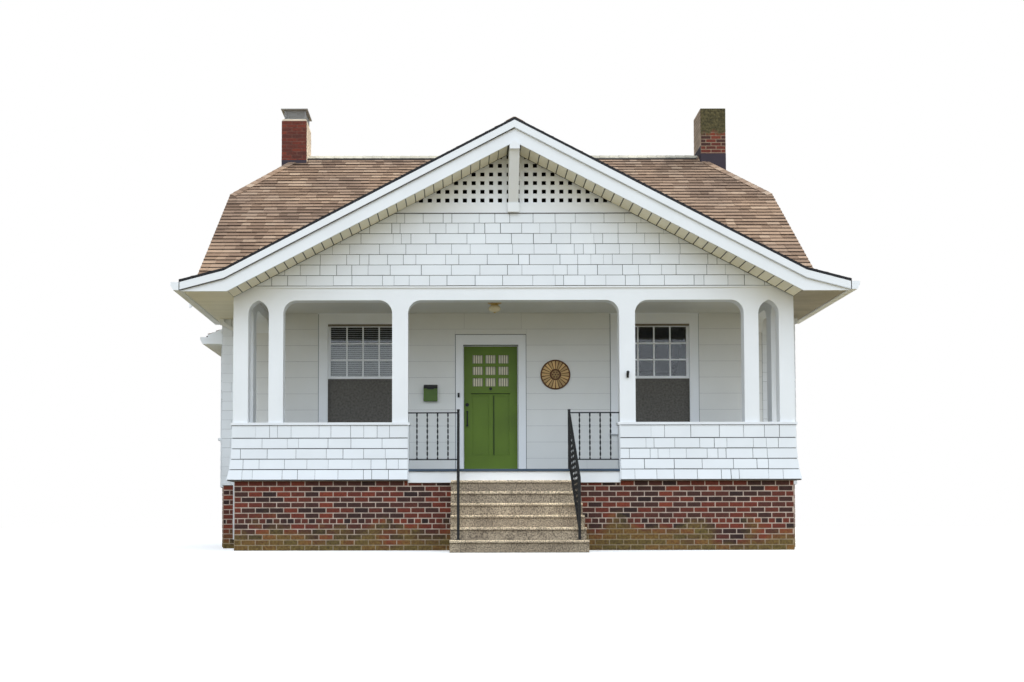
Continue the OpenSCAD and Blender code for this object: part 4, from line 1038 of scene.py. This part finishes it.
def makeMainSoffits(rng):
    c, s = slopeOf(roofPitch)
    inner, outer = sideX + 0.012, roofEdgeX - 0.002
    top = (0, ridgeY, ridgeZ - roofDeck)
    rearPlane, rearReach = planeAt(top, (-1, 0, 0), (0, c, -s)), roofRearY - 0.032 - ridgeY
    rakes = [(planeAt(top, (1, 0, 0), (0, -c, -s)), ridgeY - wallY), (rearPlane, rearReach)]
    bm = newBuild()
    for sign in (1, -1):
        for place, reach in rakes:
            layRows(bm, place, narrowBoard, rng, span(sign, inner, outer), (0, reach / c),
                    clips=[((sign * roofEdgeX, clipRun / c), (sign * clipRun / c, -hipIn))])
        place = planeAt((sign * roofEdgeX, ridgeY, clipZ - roofDeck), (0, -sign, 0),
                        (-sign * hipIn, 0, hipRise))
        layRows(bm, place, narrowBoard, rng, (-clipRun, clipRun),
                (0.003, (roofEdgeX - inner) * hipSlope / hipIn), clips=hipClips)
        left, right = span(sign, valleyX - 0.1, sideX)  # closes the roof's front edge beside the porch roof
        addBox(bm, (left, wallY - 0.012, eaveZ - roofDeck), (right, wallY + 0.002, eaveZ - 0.004))
    layRows(bm, rearPlane, narrowBoard, rng, (-inner, inner), ((rearY + 0.012 - ridgeY) / c, rearReach / c))
    finishPiece("mainSoffits", bm, "white")


def makePorchBoards(rng):
    floorBoard = {**narrowBoard, "row": 0.09, "width": (1.1, 2.0), "thick": 0.004, "joint": 0.003}
    inner, back = porchX - 0.225, frontY + 0.225
    bm = newBuild()
    layRows(bm, planeAt((0, 0, ceilingZ), (-1, 0, 0), (0, 1, 0)), narrowBoard, rng, (-inner, inner),
            (back, wallY - 0.03))
    finishPiece("ceilingBoards", bm, "ceiling")
    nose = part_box("porch_floor")[0].y
    bm = newBuild()
    place = planeAt((0, 0, floorZ), (0, 1, 0), (-1, 0, 0))
    layRows(bm, place, floorBoard, rng, (back, wallY - 0.002), (-inner, inner))
    layRows(bm, place, floorBoard, rng, (nose + 0.03, back - 0.003), (-postX, postX))
    finishPiece("floorBoards", bm, "porchFloor")
    # the floor's front edge, darker than the floor paint: painted shade
    bm = newBuild()
    addBox(bm, (-postX, nose - 0.006, floorZ - 0.034), (postX, nose + 0.029, floorZ + 0.005), bevel=0.004)
    finishPiece("floorNosing", bm, "nosing")


def makeBoards():
    rng = random.Random(41)
    makePorchSoffits(rng)
    makeMainSoffits(rng)
    makePorchBoards(rng)


# windows

def windowPlaces():
    # each window's plane, with its origin in the middle of the sill, and the height of its opening
    planes = {"front": wallPlane("front", wallY), "left": wallPlane("left", -sideX),
              "right": wallPlane("right", sideX), "rear": wallPlane("rear", rearY),
              "bay": wallPlane("left", bayLow.x)}
    bayHeight = bayHigh.z - sillZ - 0.15
    for side, plane in planes.items():
        for u in windowMiddles(side):
            yield plane @ Matrix.Translation((u, sillZ, 0)), bayHeight if side == "bay" else 1.84


def makeWindowBars():
    look = {"half": 0.54, "across": 4, "up": 3, "bar": 0.024, "lap": 0.004, "deep": (-0.07, -0.044),
            "sash": 0.045, "jamb": 0.025, "seam": 0.5975, "seamHalf": 0.0115, "head": 0.15, "capHalf": 0.745}
    back, front = look["deep"]
    thin, lap = look["bar"] / 2, look["lap"]
    total, seams = newBuild(), newBuild()
    for place, height in windowPlaces():
        low, high = height / 2 + look["sash"] / 2, height - look["jamb"] - look["sash"]
        bm = newBuild()
        for i in range(1, look["across"]):
            x = -look["half"] + 2 * look["half"] * i / look["across"]
            addBox(bm, (x - thin, low - lap, back), (x + thin, high + lap, front), bevel=0.003)
        for j in range(1, look["up"]):
            y = low + (high - low) * j / look["up"]
            reach = look["half"] + lap
            addBox(bm, (-reach, y - thin, back + 0.001), (reach, y + thin, front - 0.001), bevel=0.003)
        if height > 1.8:  # the lower windows of the bay have no cap
            top = height + look["head"]
            addBox(bm, (-look["capHalf"], top - 0.004, 0.0), (look["capHalf"], top + 0.014, 0.05),
                   bevel=0.003)
        pour(total, bm, place)
        # brown seams round each upper sash: painted shade between casing and sash
        bm = newBuild()
        for x in (-look["seam"], look["seam"]):
            addBox(bm, (x - look["seamHalf"], 0.03, -0.03), (x + look["seamHalf"], height, 0.004))
        addBox(bm, (-look["seam"], height - 0.055, -0.034), (look["seam"], height - 0.001, 0.003))
        pour(seams, bm, place)
    finishPiece("windowBars", total, "white")
    finishPiece("sashSeams", seams, "seam")


def makeBlinds():
    look = {"half": 0.56, "slats": 27, "first": 0.9, "pitch": 0.034, "wide": 0.03, "thin": 0.0016,
            "deep": -0.145, "shut": 17, "shutTilt": 62, "openTilt": 25, "head": (1.81, 1.84)}
    bm = newBuild()
    for k in range(look["slats"]):
        tilt = look["shutTilt"] if k < look["shut"] else look["openTilt"]
        verts = addBox(bm, (-look["half"], -look["wide"] / 2, -look["thin"] / 2),
                       (look["half"], look["wide"] / 2, look["thin"] / 2))
        turn = Matrix.Rotation(math.radians(90 - tilt), 4, "X")
        place = Matrix.Translation((0, look["first"] + k * look["pitch"], look["deep"])) @ turn
        bmesh.ops.transform(bm, matrix=place, verts=verts)
    low, high = look["head"]
    addBox(bm, (-look["half"], low, look["deep"] - 0.02), (look["half"], high, look["deep"] + 0.02))
    place = wallPlane("front", wallY) @ Matrix.Translation((-porchWindowX, sillZ, 0))
    bmesh.ops.transform(bm, matrix=place, verts=bm.verts)
    finishPiece("windowBlinds", bm, "white")


# iron rails with twisted balusters

def twistedBar(bm, x, y, low, high):
    # flat bar that turns on its way up, so that it looks broken into dashes
    look = {"wide": 0.012, "thin": 0.004, "turn": 0.17, "step": 0.014}
    levels = max(4, int((high - low) / look["step"]))
    bar = newBuild()
    addBox(bar, (-look["wide"], -look["thin"], 0), (look["wide"], look["thin"], high - low))
    upright = [e for e in bar.edges if abs(e.verts[0].co.z - e.verts[1].co.z) > 1e-6]
    bmesh.ops.subdivide_edges(bar, edges=upright, cuts=levels - 1)
    for vert in bar.verts:
        vert.co.rotate(Matrix.Rotation(2 * math.pi * vert.co.z / look["turn"], 3, "Z"))
    pour(bm, bar, Matrix.Translation((x, y, low)))


def makeRails():
    look = {"newel": 0.84, "half": 0.019, "railHalf": 0.0195, "railHigh": 0.0165, "pitch": 0.157,
            "stairPitch": 0.27, "high": 0.87, "low": 0.16, "sunk": 0.006}
    guardY = frontY + 0.11
    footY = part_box("porch_steps")[0].y + 0.15
    treadZ = floorZ / risers
    slope = (floorZ - treadZ) / (guardY - footY)
    total = newBuild()
    for sign in (1, -1):
        x = sign * look["newel"]
        left, right = sorted((x, sign * postX))
        guardTop = floorZ + look["high"]
        bm = newBuild()
        addPost(bm, x, guardY, look["half"], floorZ, guardTop + 0.045)
        addPost(bm, x, guardY, look["half"] + 0.005, guardTop + 0.03, guardTop + 0.04, bevel=0.002)
        addPost(bm, x, footY, look["half"], treadZ, treadZ + look["high"])
        addPost(bm, x, footY, 0.05, treadZ, treadZ + 0.008, bevel=0.002)
        for rise in (look["high"], look["low"]):
            addBox(bm, (left, guardY - look["railHalf"], floorZ + rise - look["railHigh"]),
                   (right, guardY + look["railHalf"], floorZ + rise), bevel=0.002)
            verts = addBox(bm, (x - look["railHalf"], 0, -look["railHigh"]),
                           (x + look["railHalf"], guardY - footY, 0), bevel=0.002)
            for vert in verts:
                vert.co = (vert.co.x, footY + vert.co.y, treadZ + rise + vert.co.z + slope * vert.co.y)
        at = look["newel"] + look["pitch"]
        while at < postX - look["pitch"] / 2:
            twistedBar(bm, sign * at, guardY, floorZ + look["low"] - look["sunk"], guardTop - look["sunk"])
            at += look["pitch"]
        at = footY + look["stairPitch"]
        while at < guardY - 0.016 - look["stairPitch"] / 2:
            z = treadZ + slope * (at - footY) - look["sunk"]
            twistedBar(bm, x, at, z + look["low"], z + look["high"])
            at += look["stairPitch"]
        pour(total, bm)
    bmesh.ops.recalc_face_normals(total, faces=total.faces)
    finishPiece("ironRails", total, "iron", replaced=("guard_rails", "stair_rails"))


# chimney cap, letter box, ceiling light, ornament and door trim

def makeChimneyCap():
    look = {"bar": 0.016, "rail": 0.02, "plate": 0.018, "wire": 0.006, "pitch": 0.022}
    low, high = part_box("chimney_cap")
    crown = newBuild()
    addBox(crown, (low.x + 0.03, low.y + 0.03, low.z), (high.x - 0.03, high.y - 0.03, low.z + 0.045), 1,
           bevel=0.012)
    finishPiece("chimneyCrown", crown, "sunlitPale")
    low, high = low + Vector((0.07, 0.07, 0.04)), high - Vector((0.05, 0.07, 0))
    bar, wire = look["bar"], look["wire"]
    edgesX, edgesY = (low.x, high.x - bar), (low.y, high.y - bar)
    bars, wires = newBuild(), newBuild()
    for x in edgesX:
        for y in edgesY:
            addBox(bars, (x, y, low.z), (x + bar, y + bar, high.z), bevel=0.002)
    for z in (low.z, high.z - 0.03):
        for y in edgesY:
            addBox(bars, (low.x, y, z), (high.x, y + bar, z + look["rail"]), bevel=0.002)
        for x in edgesX:
            addBox(bars, (x, low.y, z), (x + bar, high.y, z + look["rail"]), bevel=0.002)
    addBox(bars, (low.x - 0.07, low.y - 0.07, high.z - look["plate"]),
           (high.x + 0.05, high.y + 0.07, high.z), bevel=0.004)
    finishPiece("chimneyCapFrame", bars, "zinc", replaced=("chimney_cap",))
    for axis in (0, 1):
        count = int((high[axis] - low[axis]) / look["pitch"])
        for k in range(1, count):
            at = low[axis] + (high[axis] - low[axis]) * k / count
            for other in (low[1 - axis], high[1 - axis] - wire):
                x, y = (at, other) if axis == 0 else (other, at)
                addBox(wires, (x, y, low.z), (x + wire, y + wire, high.z - 0.02))
    for k in range(1, int((high.z - low.z) / look["pitch"])):
        z = low.z + look["pitch"] * k
        for y in (low.y + 0.001, high.y - wire + 0.001):
            addBox(wires, (low.x, y, z), (high.x, y + wire - 0.002, z + wire))
        for x in (low.x + 0.001, high.x - wire + 0.001):
            addBox(wires, (x, low.y, z), (x + wire - 0.002, high.y, z + wire))
    finishPiece("chimneyCapMesh", wires, "zinc")


def makeMailbox():
    look = {"lid": 0.03, "lidRise": 0.044}
    low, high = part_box("mailbox")
    bm = newBuild()
    addBox(bm, (low.x, low.y + 0.012, low.z), (high.x, high.y, high.z - 0.055), bevel=0.008)
    finishPiece("letterBox", bm, "mailGreen", replaced=("mailbox",))
    bm = newBuild()
    foot = high.z - 0.075
    verts = addBox(bm, (low.x, low.y + 0.001, foot), (high.x, high.y, foot + look["lid"]), bevel=0.005)
    for vert in verts:
        if vert.co.z > foot + look["lid"] / 2:  # the lid slopes down to the front
            vert.co.z += (vert.co.y - low.y) / (high.y - low.y) * look["lidRise"]
    addBox(bm, (low.x + 0.06, low.y + 0.004, foot - 0.015), (high.x - 0.06, low.y + 0.014, foot + 0.001),
           bevel=0.002)
    finishPiece("letterBoxLid", bm, "iron")


def turned(name, profile, middle, material, replaced=()):
    # spins a closed outline of radius and height about the vertical
    bm = newBuild()
    verts = [bm.verts.new((max(r, 1e-5), 0, z)) for r, z in profile]
    edges = [bm.edges.new((a, b)) for a, b in zip(verts, verts[1:])]
    bmesh.ops.spin(bm, geom=verts + edges, angle=2 * math.pi, steps=32, axis=(0, 0, 1), cent=(0, 0, 0),
                   use_merge=True)
    bmesh.ops.remove_doubles(bm, verts=bm.verts, dist=1e-4)
    rims = [e for e in bm.edges if e.is_boundary]
    if rims:
        bmesh.ops.holes_fill(bm, edges=rims)
    bmesh.ops.recalc_face_normals(bm, faces=bm.faces)
    bmesh.ops.transform(bm, matrix=Matrix.Translation(middle), verts=bm.verts)
    piece = finishPiece(name, bm, material, replaced=replaced)
    for polygon in piece.data.polygons:
        polygon.use_smooth = True


def makeLight():
    base = [(0, 0), (0.112, 0), (0.112, -0.012), (0.1, -0.022), (0.062, -0.03), (0.06, -0.05),
            (0.07, -0.056), (0, -0.056)]
    bowl = [(0, -0.05), (0.066, -0.052), (0.094, -0.08), (0.098, -0.108), (0.08, -0.138), (0.05, -0.152),
            (0.018, -0.156), (0, -0.156)]
    knob = [(0, -0.15), (0.018, -0.152), (0.02, -0.16), (0.01, -0.168), (0, -0.1699)]
    low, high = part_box("porch_light")
    middle = ((low.x + high.x) / 2, (low.y + high.y) / 2, high.z)
    turned("ceilingLightBase", base, middle, "brass", ("porch_light",))
    turned("ceilingLightBowl", bowl, middle, "opal")
    turned("ceilingLightKnob", knob, middle, "brass")


def addCone(bm, segments, foot, top, depth, place):
    bmesh.ops.create_cone(bm, cap_ends=True, segments=segments, radius1=foot, radius2=top, depth=depth,
                          matrix=place)


def makeOrnament():
    look = {"radius": 0.25, "thick": 0.024, "rays": 22, "inner": 0.095, "outer": 0.225, "rayThick": 0.012,
            "rayShare": 0.72, "knobs": 6, "knobReach": 0.045}
    rings = ((0.238, 0.012, 0.026), (0.078, 0.011, 0.028))  # radius, thickness and height of each
    low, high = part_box("wall_ornament")
    face = planeAt(((low.x + high.x) / 2, wallY, (low.z + high.z) / 2), (1, 0, 0), (0, 0, 1))
    rng = random.Random(51)
    disc, rays, dark = newBuild(), newBuild(), newBuild()
    addCone(disc, 64, look["radius"], look["radius"], look["thick"],
            Matrix.Translation((0, 0, look["thick"] / 2)))
    for k in range(look["rays"]):
        bm = newBuild()
        verts = addBox(bm, (look["inner"], -0.5, 0.02), (look["outer"], 0.5, 0.02 + look["rayThick"]),
                       rng.random())
        for vert in verts:  # wider towards the rim
            vert.co.y *= vert.co.x * 2 * math.pi / look["rays"] * look["rayShare"]
        pour(rays, bm, Matrix.Rotation(2 * math.pi * k / look["rays"], 4, "Z"))
    for k in range(look["knobs"] + 1):  # the last one stands in the middle
        around = 2 * math.pi * k / look["knobs"]
        reach = look["knobReach"] if k < look["knobs"] else 0
        addCone(dark, 16, 0.016, 0.009, 0.014,
                Matrix.Translation((reach * math.cos(around), reach * math.sin(around), 0.033)))
    addCone(rays, 32, 0.07, 0.066, 0.006, Matrix.Translation((0, 0, 0.0265)))
    for bm in (dark, disc, rays):
        bmesh.ops.transform(bm, matrix=face, verts=bm.verts)
    finishPiece("ornamentDisc", disc, "bronze", replaced=("wall_ornament",))
    finishPiece("ornamentRays", rays, "gilt")
    for radius, tube, height in rings:
        bm = newBuild()
        place = Matrix.Translation((radius, 0, height)) @ Matrix.Rotation(math.pi / 2, 4, "X")
        bmesh.ops.create_circle(bm, segments=12, radius=tube, matrix=place)
        bmesh.ops.spin(bm, geom=list(bm.verts) + list(bm.edges), angle=2 * math.pi, steps=56, axis=(0, 0, 1),
                       cent=(0, 0, 0), use_merge=True)
        bmesh.ops.remove_doubles(bm, verts=bm.verts, dist=1e-5)
        bmesh.ops.recalc_face_normals(bm, faces=bm.faces)
        pour(dark, bm, face)
    finishPiece("ornamentRings", dark, "bronze")


def makeDoorBeads():
    panels = {"low": 0.24, "high": 1.255, "inner": 0.025, "stile": 0.14, "bead": 0.012, "deep": 0.009}
    shelf = {"z": 2.592, "half": 0.33, "thick": 0.024, "proud": 0.018}
    low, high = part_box("front_door")
    middle = (low.x + high.x) / 2
    z0, z1 = low.z + panels["low"], low.z + panels["high"]
    bead = panels["bead"]
    bm = newBuild()
    for sign in (1, -1):
        reach = (high.x - low.x) / 2 - panels["stile"]
        a, b = sorted((middle + sign * panels["inner"], middle + sign * reach))
        for left, right, foot, top in ((a, a + bead, z0, z1), (b - bead, b, z0, z1), (a, b, z0, z0 + bead),
                                       (a, b, z1 - bead, z1)):
            addBox(bm, (left, low.y, foot), (right, low.y + panels["deep"], top), bevel=0.002)
    addBox(bm, (middle - shelf["half"], low.y - shelf["proud"], shelf["z"]),
           (middle + shelf["half"], low.y + 0.003, shelf["z"] + shelf["thick"]), bevel=0.003)
    finishPiece("doorBeads", bm, "green", "front_door")
    bm = newBuild()  # shadow under the shelf, and in the joint between the panels
    addBox(bm, (middle - shelf["half"] + 0.005, low.y - 0.006, shelf["z"] - 0.012),
           (middle + shelf["half"] - 0.005, low.y + 0.003, shelf["z"] - 0.0005))
    addBox(bm, (middle + 0.046, low.y - 0.001, z0), (middle + 0.06, low.y + 0.003, z1 - 0.005))
    finishPiece("doorGrooves", bm, "groove", "front_door")


def makeDoorLites():
    # nine lights of reeded glass, each as a row of narrow ribs, every other rib darker: painted shade of the
    # reeds
    look = {"wide": 0.175, "high": 0.14, "acrossStep": 0.216, "upStep": 0.194, "ribs": 9, "proud": 0.005}
    low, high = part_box("door_glass")
    rib = look["wide"] / look["ribs"]
    bm = newBuild()
    for i in (-1, 0, 1):
        for j in (-1, 0, 1):
            x0 = (low.x + high.x) / 2 + i * look["acrossStep"] - look["wide"] / 2
            z0 = (low.z + high.z) / 2 + j * look["upStep"] - look["high"] / 2
            for k in range(look["ribs"]):
                addBox(bm, (x0 + k * rib, low.y - look["proud"], z0),
                       (x0 + (k + 1) * rib, high.y, z0 + look["high"]), k % 2, bevel=0.003)
    finishPiece("doorLites", bm, "reeded", "front_door", ("door_glass",))


def makePostSocket():
    look = {"x": 1.72, "z": 2.65, "tilt": 35}
    x, z = look["x"], look["z"]
    bm = newBuild()
    addBox(bm, (x - 0.018, frontY - 0.008, z - 0.05), (x + 0.018, frontY, z + 0.05), bevel=0.003)
    turn = Matrix.Rotation(math.radians(look["tilt"]), 4, "X")
    addCone(bm, 20, 0.017, 0.02, 0.09, Matrix.Translation((x, frontY - 0.03, z + 0.005)) @ turn)
    finishPiece("poleSocket", bm, "iron")


def makeFloor():
    bm = bmesh.new()
    bmesh.ops.create_grid(bm, x_segments=1, y_segments=1, size=150)
    mesh = bpy.data.meshes.new("studioFloor")
    bm.to_mesh(mesh)
    bm.free()
    mesh.materials.append(floorMaterial())
    floor = bpy.data.objects.new("studioFloor", mesh)
    bpy.context.scene.collection.objects.link(floor)


makeCamera()
makeWorld()
makeLamps()
paintNodes()
print("camera, light and node materials ready")
makeWallShingles()
makePorchWall()
makeBricks()
print("walls ready")
makeRoofTabs()
makeCaps()
makeEdges()
print("roofs ready")
makeBoards()
makeWindowBars()
makeBlinds()
print("boards and windows ready")
makeRails()
makeChimneyCap()
makeMailbox()
makeLight()
makeOrnament()
makeDoorBeads()
makeDoorLites()
makePostSocket()
print("fittings ready")
makeFloor()
